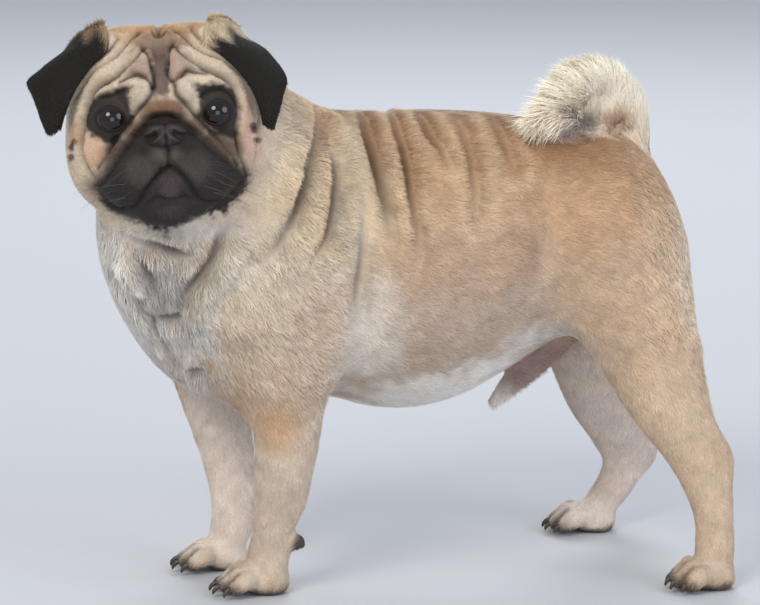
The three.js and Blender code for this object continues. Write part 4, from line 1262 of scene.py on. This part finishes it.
# The ears: thin folded leather, black as velvet, that stand up at the root and fall forward over the side of
# the head. Each is one sheet through seven rows of places, from root to crest to tip, thickest at the root.
EARS = {
    "ear_right": [
        [(-28, -20, 44), (-38, -8, 42), (-45, 8, 36)],
        [(-31.1, -28, 59.7), (-40.8, -14, 54.7), (-51, -0, 47.3)],
        [(-30.2, -35, 46.1), (-45, -27, 47), (-58.2, -10, 42.7)],
        [(-39.5, -37, 37.3), (-55.7, -29, 36.9), (-68.7, -13, 36.7)],
        [(-48.4, -37, 25), (-64.4, -30, 24.9), (-78.4, -15, 29.7)],
        [(-55.2, -34, 12.2), (-66.4, -29, 11.5), (-75.5, -18, 17.8)],
        [(-60, -30, 0.9), (-65.6, -27, -1.3), (-70, -22, 4.2)],
    ],
    "ear_left": [
        [(28, -20, 44), (38, -8, 42), (45, 8, 36)],
        [(28.3, -27, 58), (36.5, -14, 58.2), (45, 0, 53.2)],
        [(27, -35, 48.3), (37.9, -27, 48.3), (51.8, -10, 45.9)],
        [(34.9, -38, 40), (48.6, -30, 38), (62.2, -12, 38.7)],
        [(46.5, -38, 26.4), (58.5, -30, 24.4), (73, -14, 24)],
        [(54, -36, 11.3), (62, -30, 9.5), (70.8, -18, 11.3)],
        [(58.2, -31, -3.6), (61, -28, -5.7), (63.6, -23, -3.8)],
    ],
}


def spline(rows, at):
    """Places along a smooth line through the rows, for shares from 0 to 1."""
    rows = np.array(rows, float)
    padded = np.concatenate([[2 * rows[0] - rows[1]], rows, [2 * rows[-1] - rows[-2]]])
    x = np.clip(np.asarray(at) * (len(rows) - 1), 0, len(rows) - 1 - 1e-9)
    i = x.astype(int)
    t = (x - i).reshape(-1, *[1] * (rows.ndim - 1))
    a, b, c, d = padded[i], padded[i + 1], padded[i + 2], padded[i + 3]
    return 0.5 * (2 * b + (c - a) * t + (2 * a - 5 * b + 4 * c - d) * t**2 + (3 * b - a - 3 * c + d) * t**3)


EAR_NAP = 0.08
velvet, tree, shader, place = new_material("black_velvet_ear_leather")
# Leather under the shortest, densest hair: dull black, soft as velvet, with no shine
ear_colour = add_node(tree, "ShaderNodeAttribute", attribute_name="coat")
nap = add_node(tree, "ShaderNodeTexNoise", {"Vector": place, "Scale": 1 / (EAR_NAP * MM), "Detail": 4.0})
relief = add_node(tree, "ShaderNodeBump", {"Height": nap.outputs[0], "Strength": 0.6, "Distance": 0.0005})
tree.links.new(ear_colour.outputs[0], shader.inputs["Base Color"])
tree.links.new(relief.outputs[0], shader.inputs["Normal"])
shader.inputs["Roughness"].default_value = 0.8
shader.inputs["Specular IOR Level"].default_value = 0.2
ear_coats = {}
LONG, WIDE = 40, 24  # points down and across each sheet
# The leather is painted darker than the ear's hair: painted shade under the hair
EAR_SHADE = 0.8
# How far down the ear the fawn of the head reaches, and its colour there
EAR_ROOTS = {"ear_right": (0, "#b59c80"), "ear_left": (0.1, "#dcc9ac")}
for name, rows in EARS.items():
    down = np.linspace(0, 1, LONG)
    lanes = spline(rows, down)
    grid = np.stack([spline(lane, np.linspace(0, 1, WIDE)) for lane in lanes])
    around = np.linspace(-1, 1, WIDE)
    run = np.gradient(grid, axis=0)
    across = np.gradient(grid, axis=1)
    facing = np.cross(run, across)
    facing /= np.linalg.norm(facing, axis=2, keepdims=True)
    if facing[LONG // 2, WIDE // 2, 1] > 0:
        facing = -facing
    edge = np.minimum(1, 2.2 * (1 - np.abs(around)))[None, :] * np.minimum(1, (1 - down) * 9)[:, None]
    thick = (0.45 + 0.85 * np.sqrt(edge)) * (1 + 0.8 * (1 - down)[:, None] ** 2)
    curl = 2.4 * around[None, :] ** 2 * (0.3 + down[:, None])
    ripple = 0.9 * np.sin(down * 9 + 1)[:, None] * around[None, :]
    grid = grid - facing * (curl + ripple)[:, :, None]
    outer, inner = grid + facing * thick[:, :, None], grid - facing * thick[:, :, None]
    bm = bmesh.new()
    sheets = [
        [[bm.verts.new(place) for place in packed(from_head(lane))] for lane in sheet]
        for sheet in (outer, inner)
    ]
    for sheet in sheets:
        for i in range(LONG - 1):
            for j in range(WIDE - 1):
                bm.faces.new((sheet[i][j], sheet[i + 1][j], sheet[i + 1][j + 1], sheet[i][j + 1]))
    ring = [(i, 0) for i in range(LONG)] + [(LONG - 1, j) for j in range(1, WIDE)]
    ring += [(i, WIDE - 1) for i in range(LONG - 2, -1, -1)] + [(0, j) for j in range(WIDE - 2, 0, -1)]
    for (i, j), (k, m) in zip(ring, ring[1:] + ring[:1]):
        bm.faces.new((sheets[0][i][j], sheets[0][k][m], sheets[1][k][m], sheets[1][i][j]))
    bmesh.ops.recalc_face_normals(bm, faces=bm.faces)
    share = np.repeat(down, WIDE)
    lane = np.tile(around, LONG)
    reach, fawn = EAR_ROOTS[name]
    fawn_root = 1 - smoothstep(share + 0.04 * np.sin(lane * 7) + 0.05 * lane, 0.15 + reach, 0.3 + reach)
    tint = blend_in(np.tile(linear("#1f1d1a"), (len(share), 1)), fawn_root, fawn)
    mesh = mesh_from(bm, name + "_leather", smooth=True)
    paint(mesh, np.concatenate([tint, tint]) * EAR_SHADE)
    leaf = new_object(name + "_leather", mesh, velvet)
    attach(leaf, "root")
    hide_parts(name)
    ear_coats[name] = (outer, inner, facing, run, tint.reshape(LONG, WIDE, 3))


# The claws: short, dark horn, one at the end of each toe. Each is a rounded tube along a bent line that starts
# inside the toe. The dew claws don't show in the coat and are left out.
HORN_LAYER = 0.06
horn, tree, shader, place = new_material("dark_claw_horn")
# Solid horn worn smooth: dark brown, with a dull shine along its back
layers = add_node(
    tree, "ShaderNodeTexNoise", {"Vector": place, "Scale": 1 / (HORN_LAYER * MM), "Detail": 3.0}
)
ramp = add_node(tree, "ShaderNodeValToRGB", {"Fac": layers.outputs[0]})
ramp.color_ramp.elements[0].color = (*linear("#1d1816"), 1)
ramp.color_ramp.elements[1].color = (*linear("#54483e"), 1)
tree.links.new(ramp.outputs[0], shader.inputs["Base Color"])
shader.inputs["Roughness"].default_value = 0.34
CLAW_GIRTH, CLAW_FLAT = 1.6, 0.8
CLAW_BELOW = 1.2  # under the height at which its line is given
for paw in paws:
    bm = bmesh.new()
    for toe in TOES:
        aside, front = 9 * toe, toe_front(toe)
        spine = spline(
            [(front + 1, aside, 7.6), (front - 4, 1.03 * aside, 7.6), (front - 7, 1.05 * aside, 5.6),
             (front - 7.9, 1.06 * aside, 3)],
            np.linspace(0, 1, 12),
        )
        loops = []
        for i, place in enumerate(spine):
            t = i / (len(spine) - 1)
            ahead = spine[min(i + 1, len(spine) - 1)] - spine[max(i - 1, 0)]
            ahead /= np.linalg.norm(ahead)
            sideways = np.cross(ahead, (0, 0, 1.0))
            sideways /= np.linalg.norm(sideways)
            above = np.cross(sideways, ahead)
            girth = CLAW_GIRTH * (1 - t**1.8) ** 0.6 + 0.2
            loop = []
            for a in np.linspace(0, 2 * math.pi, 12, endpoint=False):
                on_claw = place + girth * (CLAW_FLAT * math.cos(a) * sideways + math.sin(a) * above)
                loop.append(bm.verts.new(packed(paw_place(paw, on_claw) - (0, 0, CLAW_BELOW))))
            loops.append(loop)
        joined_up(bm, loops)
        bm.faces.new(loops[0])
        bm.faces.new(loops[-1])
    bmesh.ops.recalc_face_normals(bm, faces=bm.faces)
    claws = new_object("claws_" + paw, mesh_from(bm, "claws_" + paw, smooth=True), horn)
    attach(claws, "root")


# The coat: short, dense, double hair that lies back from the nose and down the limbs, in tufts rooted in the
# skin. It is longest on the tail and behind the thighs, and shortest on the face, the ears and the toes.
def mix_by(values, weight, other):
    """Turns values towards another by each one's weight."""
    return values + (weight[:, None] if values.ndim == 2 else weight) * (np.array(other, float) - values)


NOSE_TIP = (0, -66, -3)


def coat_style(p, normals):
    """Where hair lies, its length, width, lift and how many tufts grow on a square millimetre."""
    x, _, z = p.T
    q = in_head(p)
    head = head_share(q)
    back, rump = smoothstep(z, 250, 284), smoothstep(x, 60, 118) * smoothstep(z, 90, 130)
    neck, chest = 1 - smoothstep(x, -125, -75), (1 - smoothstep(x, -178, -150)) * smoothstep(z, 110, 135)
    legs = 1 - smoothstep(z, 92, 132)
    belly = smoothstep(-normals[:, 2], 0.45, 0.85) * smoothstep(x, -95, -80) * (1 - smoothstep(x, 50, 70))
    belly *= smoothstep(z, 88, 96)
    paw = 1 - smoothstep(z, 16, 30)
    flow = np.tile([0.9, 0, -0.42], (len(p), 1))
    for weight, lie in [
        (back, (1, 0, -0.05)), (rump, (0.4, 0, -0.92)), (neck, (0.6, 0, -0.8)),
        (neck * smoothstep(z, 262, 285), (0.95, 0, -0.2)), (chest, (0.3, 0, -0.95)), (legs, (0.12, 0, -1)),
        (belly, (1, 0, -0.1)), (paw, (-0.7, 0, -0.7)),
    ]:
        flow = mix_by(flow, weight, lie)
    from_nose = (q - NOSE_TIP) @ HEAD_TURN.T
    flow = mix_by(flow, head, (0, 0, 0)) + head[:, None] * unit(from_nose)
    _, at = along_line(p, tail_line, 40)
    tail = tail_share(p)
    # The long hair goes straight on where the tail turns down, as a fringe
    behind = (at - 0.2 * smoothstep(at, 0.35, 0.6)) * (len(tail_line) - 1)
    step = np.diff(tail_line, axis=0)[np.clip(behind.astype(int), 0, len(tail_line) - 2)]
    flow = mix_by(flow, tail, (0, 0, 0)) + tail[:, None] * unit(step)
    wisp = tail * smoothstep(at, 0.45, 0.6) * smoothstep(normals @ (-0.7, 0, 0.7), 0.15, 0.6)
    wisp *= smoothstep(waves(p, 8, 50), 0, 0.5)
    flow = mix_by(flow, 0.8 * wisp, (-1, -0.1, 0.15))
    # Round the hole of the curl the hair is short and lies away from it
    hole = p - CURL_HOLE
    near_hole = tail * (1 - smoothstep(np.linalg.norm(hole / (11, 22, 9), axis=1), 0.6, 1.3))
    flow = mix_by(flow, near_hole, (0, 0, 0)) + near_hole[:, None] * unit(hole * (1, 0, 1))
    long = 7 + waves(p, 30, 30) * 0.7
    low_head = head * smoothstep(-q[:, 2], 44, 60)
    for weight, size in [
        (back, 7), (rump, 8), (neck, 8), (chest, 8.5), (belly, 7.5), (legs, 4.4), (paw, 2.6),
        (head, 3.4), (head * smoothstep(-q[:, 1], 14, 36), 2.1), (low_head, 6),
        (tail, 9 + 6 * smoothstep(z, 270, 290)), (tail * smoothstep(at, 0.5, 0.8), 16),
        (wisp, 21), (near_hole, 4),
    ]:
        long = mix_by(long, weight, size)
    culotte = smoothstep(x, 122, 138) * smoothstep(z, 105, 140) * (1 - smoothstep(z, 215, 245))
    long = mix_by(long, culotte, 12)
    wide = (0.08 * long**0.7 + 0.18) * (1 - 0.35 * tail) * (1 - 0.15 * neck)
    lift = 0.17 + 0.06 * chest + 0.12 * culotte + 0.02 * neck - 0.02 * head
    lift = lift + tail * (0.06 + 0.14 * smoothstep(at, 0.5, 0.8)) + 0.16 * wisp - 0.1 * near_hole
    # Where two lies meet head on, the hair is shorter, so that none stands up alone
    across = np.linalg.norm(np.cross(unit(flow), normals), axis=1)
    across = across * np.minimum(1, np.linalg.norm(flow, axis=1))
    long = long * np.maximum(wisp, 0.35 + 0.65 * smoothstep(across, 0.1, 0.45))
    dense = np.full(len(p), 1.8)
    for weight, number in [
        (rump, 1.1), (neck, 1.25), (chest, 1.2), (legs, 1.5), (paw, 2.2), (head, 1.6),
        (head * smoothstep(-q[:, 1], 14, 30), 3.2), (tail, 4.2), (belly, 1.1),
    ]:
        dense = mix_by(dense, weight, number)
    eyes = eye_opening(q)
    leather = np.hypot(q[:, 0] / 11, (q[:, 2] + 3.5) / 6.5)
    clear = np.maximum(1 - smoothstep(eyes, 1.12, 1.18), 1 - smoothstep(leather, 0.95, 1.05))
    dense = dense * (1 - clear * (q[:, 1] < -20))
    close = np.clip((eyes - 0.9) / 1.4, 0.35, 1)
    long = np.where(q[:, 1] < -20, long * np.maximum(close, 1 - head), long)
    for centre in PAD_SPOTS:
        long = mix_by(long, 1 - smoothstep(np.linalg.norm(p - centre, axis=1), 8, 11), 1.8)
    return unit(flow), long, wide, lift, dense


ROOT_SUNK = 0.4  # how far a tuft starts below the skin
PATCH = 0.003  # how wide each tuft's patch of the map is


def grown(name, roots, normals, style, colours, bends, slot):
    """One joined mesh of tufts: each a thin ridge that bends over along the coat, drawn out to a point."""
    flow, long, wide, lift = style
    count = len(roots)
    n = unit(normals)
    turn = (draw.normal(0, 0.17, count) + 0.22 * waves(roots, 13, 41)) * (1.6 if bends == 1 else 1)
    side = unit(np.cross(flow, n))
    along = np.cross(n, side)
    along = along * np.cos(turn)[:, None] + side * np.sin(turn)[:, None]
    side = np.cross(along, n)
    long = long * draw.uniform(0.75, 1.2, count)
    wide = wide * draw.uniform(0.8, 1.25, count)
    lift = lift * draw.uniform(0.55, 1.5, count)
    curl = draw.normal(0, 0.1, count)
    shade = draw.uniform(0.82, 1.14, count) * (1 + 0.1 * waves(roots, 11, 43))
    # Some tufts have darker tips, or lighter ones in black hair. Cream hair is more even.
    ticked = draw.uniform(size=count) < 0.15
    pale = smoothstep(colours.mean(axis=1), 0.68, 0.8)
    shade = np.where(ticked, shade * np.where(colours.mean(axis=1) < 0.06, 1.9, 0.74 + 0.24 * pale), shade)
    shade = mix_by(shade, 0.7 * pale, 1.06)
    rows, root_shade_tip_light, spots = [], [], []
    shares = np.linspace(0, 1, bends + 1)
    for k, t in enumerate(shares[:-1]):
        width = wide * ((0.5 if bends == 1 else 0.36) if k == 0 else 0.5 * (1 - 0.45 * (t - shares[1])))
        mid = roots + along * (long * t * np.cos(lift * (1 - 0.5 * t)))[:, None]
        mid = mid + n * (long * np.sin(lift) * t * (1.1 - 0.5 * t) - (ROOT_SUNK if k == 0 else 0))[:, None]
        mid = mid + side * (long * curl * t * t)[:, None]
        rows += [mid - side * width[:, None], mid + n * (0.6 * width)[:, None], mid + side * width[:, None]]
        # Painted shade at each tuft's root and edges, and painted light towards its tip
        root_shade_tip_light += [(0.84 + 0.24 * t) * s for s in (0.95, 1.0, 0.95)]
        spots += [(-1, 2 * t - 1), (0, 2 * t - 1), (1, 2 * t - 1)]
    rows.append(
        roots + along * (long * np.cos(lift * 0.5))[:, None] + n * (long * np.sin(lift) * 0.6)[:, None]
        + side * (long * curl)[:, None]
    )
    root_shade_tip_light.append(1.14)
    spots.append((0, 1))
    each = len(rows)
    points = np.stack(rows, axis=1).reshape(-1, 3)
    points[:, 2] = np.maximum(points[:, 2], 0.15)
    faces = []
    for k in range(bends - 1):
        a = 3 * k
        faces += [(a, a + 4, a + 3), (a, a + 1, a + 4), (a + 1, a + 5, a + 4), (a + 1, a + 2, a + 5)]
    a = 3 * (bends - 1)
    faces += [(a, a + 1, each - 1), (a + 1, a + 2, each - 1)]
    corners = (np.array(faces)[None] + each * np.arange(count)[:, None, None]).reshape(-1)
    mesh = bpy.data.meshes.new(name)
    mesh.vertices.add(len(points))
    mesh.vertices.foreach_set("co", packed(points).astype(np.float32).ravel())
    total = len(corners) // 3
    mesh.loops.add(len(corners))
    mesh.loops.foreach_set("vertex_index", corners.astype(np.int32))
    mesh.polygons.add(total)
    mesh.polygons.foreach_set("loop_start", np.arange(0, len(corners), 3, dtype=np.int32))
    mesh.polygons.foreach_set("use_smooth", np.ones(total, bool))
    mesh.update(calc_edges=True)
    tint = colours[:, None, :] * shade[:, None, None] * np.array(root_shade_tip_light)[None, :, None]
    paint(mesh, tint.reshape(-1, 3).clip(0, 1))
    layer = mesh.uv_layers.new(name="OFBake")
    patch = (unwrapped(roots)[:, None, :] + PATCH / 2 * np.array(spots)[None]).reshape(-1, 2)
    layer.data.foreach_set("uv", patch.clip(0.0005, 0.9995)[corners].astype(np.float32).ravel())
    piece = new_object(name, mesh, hair)
    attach(piece, "root")


HAIR_WIDTH = 0.09
hair, tree, shader, place = new_material("short_dog_hair")
# Fine hair in the coat's own colours, with painted shade at the root and painted light at the tip, and a faint
# oily sheen
hair_colour = add_node(tree, "ShaderNodeAttribute", attribute_name="coat")
strands = add_node(
    tree, "ShaderNodeTexNoise", {"Vector": place, "Scale": 1 / (HAIR_WIDTH * MM), "Detail": 2.0}
)
shade = add_node(
    tree, "ShaderNodeMixRGB", {"Fac": 0.22, "Color1": hair_colour.outputs[0], "Color2": strands.outputs[0]},
    blend_type="OVERLAY",
)
tree.links.new(shade.outputs[0], shader.inputs["Base Color"])
shader.inputs["Roughness"].default_value = 0.62
shader.inputs["Specular IOR Level"].default_value = 0.3
shader.inputs["Sheen Weight"].default_value = 0.12
shader.inputs["Sheen Roughness"].default_value = 0.4

# An unwrap of the skin's own shape, on a coarse copy, gives each tuft its patch
UNWRAP_VOXEL = 9
proxy = remeshed(skin.data, UNWRAP_VOXEL * MM)
bm = bmesh.new()
bm.from_mesh(proxy)
bmesh.ops.triangulate(bm, faces=bm.faces)
bm.to_mesh(proxy)
bm.free()
unwrap = new_object("unwrap", proxy)
bpy.context.view_layer.objects.active = unwrap
unwrap.select_set(True)
bpy.ops.object.mode_set(mode="EDIT")
bpy.ops.mesh.select_all(action="SELECT")
bpy.ops.uv.smart_project(angle_limit=math.radians(66), island_margin=0.004)
bpy.ops.object.mode_set(mode="OBJECT")
proxy = unwrap.data
proxy_uv = np.zeros(len(proxy.loops) * 2)
proxy.uv_layers.active.data.foreach_get("uv", proxy_uv)
proxy_uv = proxy_uv.reshape(-1, 3, 2)
proxy_at = np.array([v.co for v in proxy.vertices])
proxy_faces = np.array([tuple(f.vertices) for f in proxy.polygons])
proxy_tree = BVHTree.FromPolygons([Vector(v) for v in proxy_at], proxy_faces.tolist())


def unwrapped(p):
    """Where places on the body, in millimetres, lie on the unwrap."""
    found = [proxy_tree.find_nearest(Vector(place)) for place in packed(p)]
    at = np.array([hit[0] for hit in found])
    face = np.array([hit[2] for hit in found])
    a, b, c = (proxy_at[proxy_faces[face, k]] for k in range(3))
    area = np.cross(b - a, c - a)
    scale = (area**2).sum(axis=1) + 1e-30
    u = (np.cross(c - b, at - b) * area).sum(axis=1) / scale
    v = (np.cross(a - c, at - c) * area).sum(axis=1) / scale
    shares = np.stack([u, v, 1 - u - v], axis=1).clip(0, 1)
    return (proxy_uv[face] * shares[:, :, None]).sum(axis=1)


draw = np.random.default_rng(21)
skin.data.calc_loop_triangles()
skin_faces = np.zeros(len(skin.data.loop_triangles) * 3, np.int32)
skin.data.loop_triangles.foreach_get("vertices", skin_faces)
skin_faces = skin_faces.reshape(-1, 3)
corners = skin_points[skin_faces]
middles = corners.mean(axis=1)
areas = np.linalg.norm(np.cross(corners[:, 1] - corners[:, 0], corners[:, 2] - corners[:, 0]), axis=1) / 2
dense = coat_style(middles, skin_normals[skin_faces[:, 0]])[4]
wanted = areas * dense
count = int(wanted.sum())
chosen = np.sort(draw.choice(len(wanted), count, p=wanted / wanted.sum()))
shares = draw.dirichlet((1, 1, 1), count)
roots = (corners[chosen] * shares[:, :, None]).sum(axis=1)
root_normals = (skin_normals[skin_faces[chosen]] * shares[:, :, None]).sum(axis=1)
root_colours = (skin_colours[skin_faces[chosen]] * shares[:, :, None]).sum(axis=1)
root_creases = (skin_creases[skin_faces[chosen]] * shares).sum(axis=1)
flow, long, wide, lift, _ = coat_style(roots, root_normals)
smooth_roots = (smooth_points[skin_faces[chosen]] * shares[:, :, None]).sum(axis=1)
tip_creases = crease_share(smooth_roots + flow * (0.8 * long)[:, None])
long *= (1 - 0.7 * root_creases) * (1 - 0.5 * tip_creases)
lift *= 1 - 0.7 * root_creases
style = (flow, long, wide, lift)
x, y, z = roots.T
# Each tuft goes to the first piece whose place it is in: its name, its place, the bends in a tuft, its slot
coat_pieces = [
    ("coat_head", head_share(in_head(roots)) > 0.5, 1, "fawn"),
    ("coat_tail", tail_share(roots) > 0.5, 2, "cream"),
    ("coat_forelegs", (z < 132) & (x < -70), 1, "fawn"),
    ("coat_hindlegs", (z < 150) & (x > 55), 1, "fawn"),
    ("coat_chest", (x < -150) & (z < 235), 2, "cream"),
    ("coat_neck_left", (x < -88) & (y < -10), 2, "cream"),
    ("coat_neck_right", (x < -88), 2, "cream"),
    ("coat_rump", x > 92, 2, "fawn"),
    ("coat_flank_left", y < 0, 1, "fawn"),
    ("coat_flank_right", y >= 0, 1, "fawn"),
]
free = np.ones(count, bool)
for name, here, bends, slot in coat_pieces:
    here = here & free
    free &= ~here
    here_style = [values[here] for values in style]
    grown(name, roots[here], root_normals[here], here_style, root_colours[here], bends, slot)
EAR_TUFTS = 4200  # on each side of an ear
for name, (outer, inner, facing, run, tint) in ear_coats.items():
    found = []
    for sheet, out in ((outer, 1), (inner, -1)):
        down, aside = draw.uniform(0, LONG - 1.01, EAR_TUFTS), draw.uniform(0, WIDE - 1.01, EAR_TUFTS)
        i, j = down.astype(int), aside.astype(int)
        s, t = (down - i)[:, None], (aside - j)[:, None]
        place = (sheet[i, j] * (1 - s) + sheet[i + 1, j] * s) * (1 - t)
        place = place + (sheet[i, j + 1] * (1 - s) + sheet[i + 1, j + 1] * s) * t
        found.append((place, facing[i, j] * out, run[i, j], tint[i, j]))
    place, out, down, colour = (np.concatenate(part) for part in zip(*found))
    light = (colour[:, 0] / 0.4).clip(0, 1)
    style = (unit(down @ HEAD_TURN.T), 1.9 + 2.4 * light, 0.45 + 0.1 * light, 0.2 + 0.15 * light)
    grown("coat_" + name, from_head(place), out @ HEAD_TURN.T, style, colour, 1, "black")
bpy.data.objects.remove(unwrap)
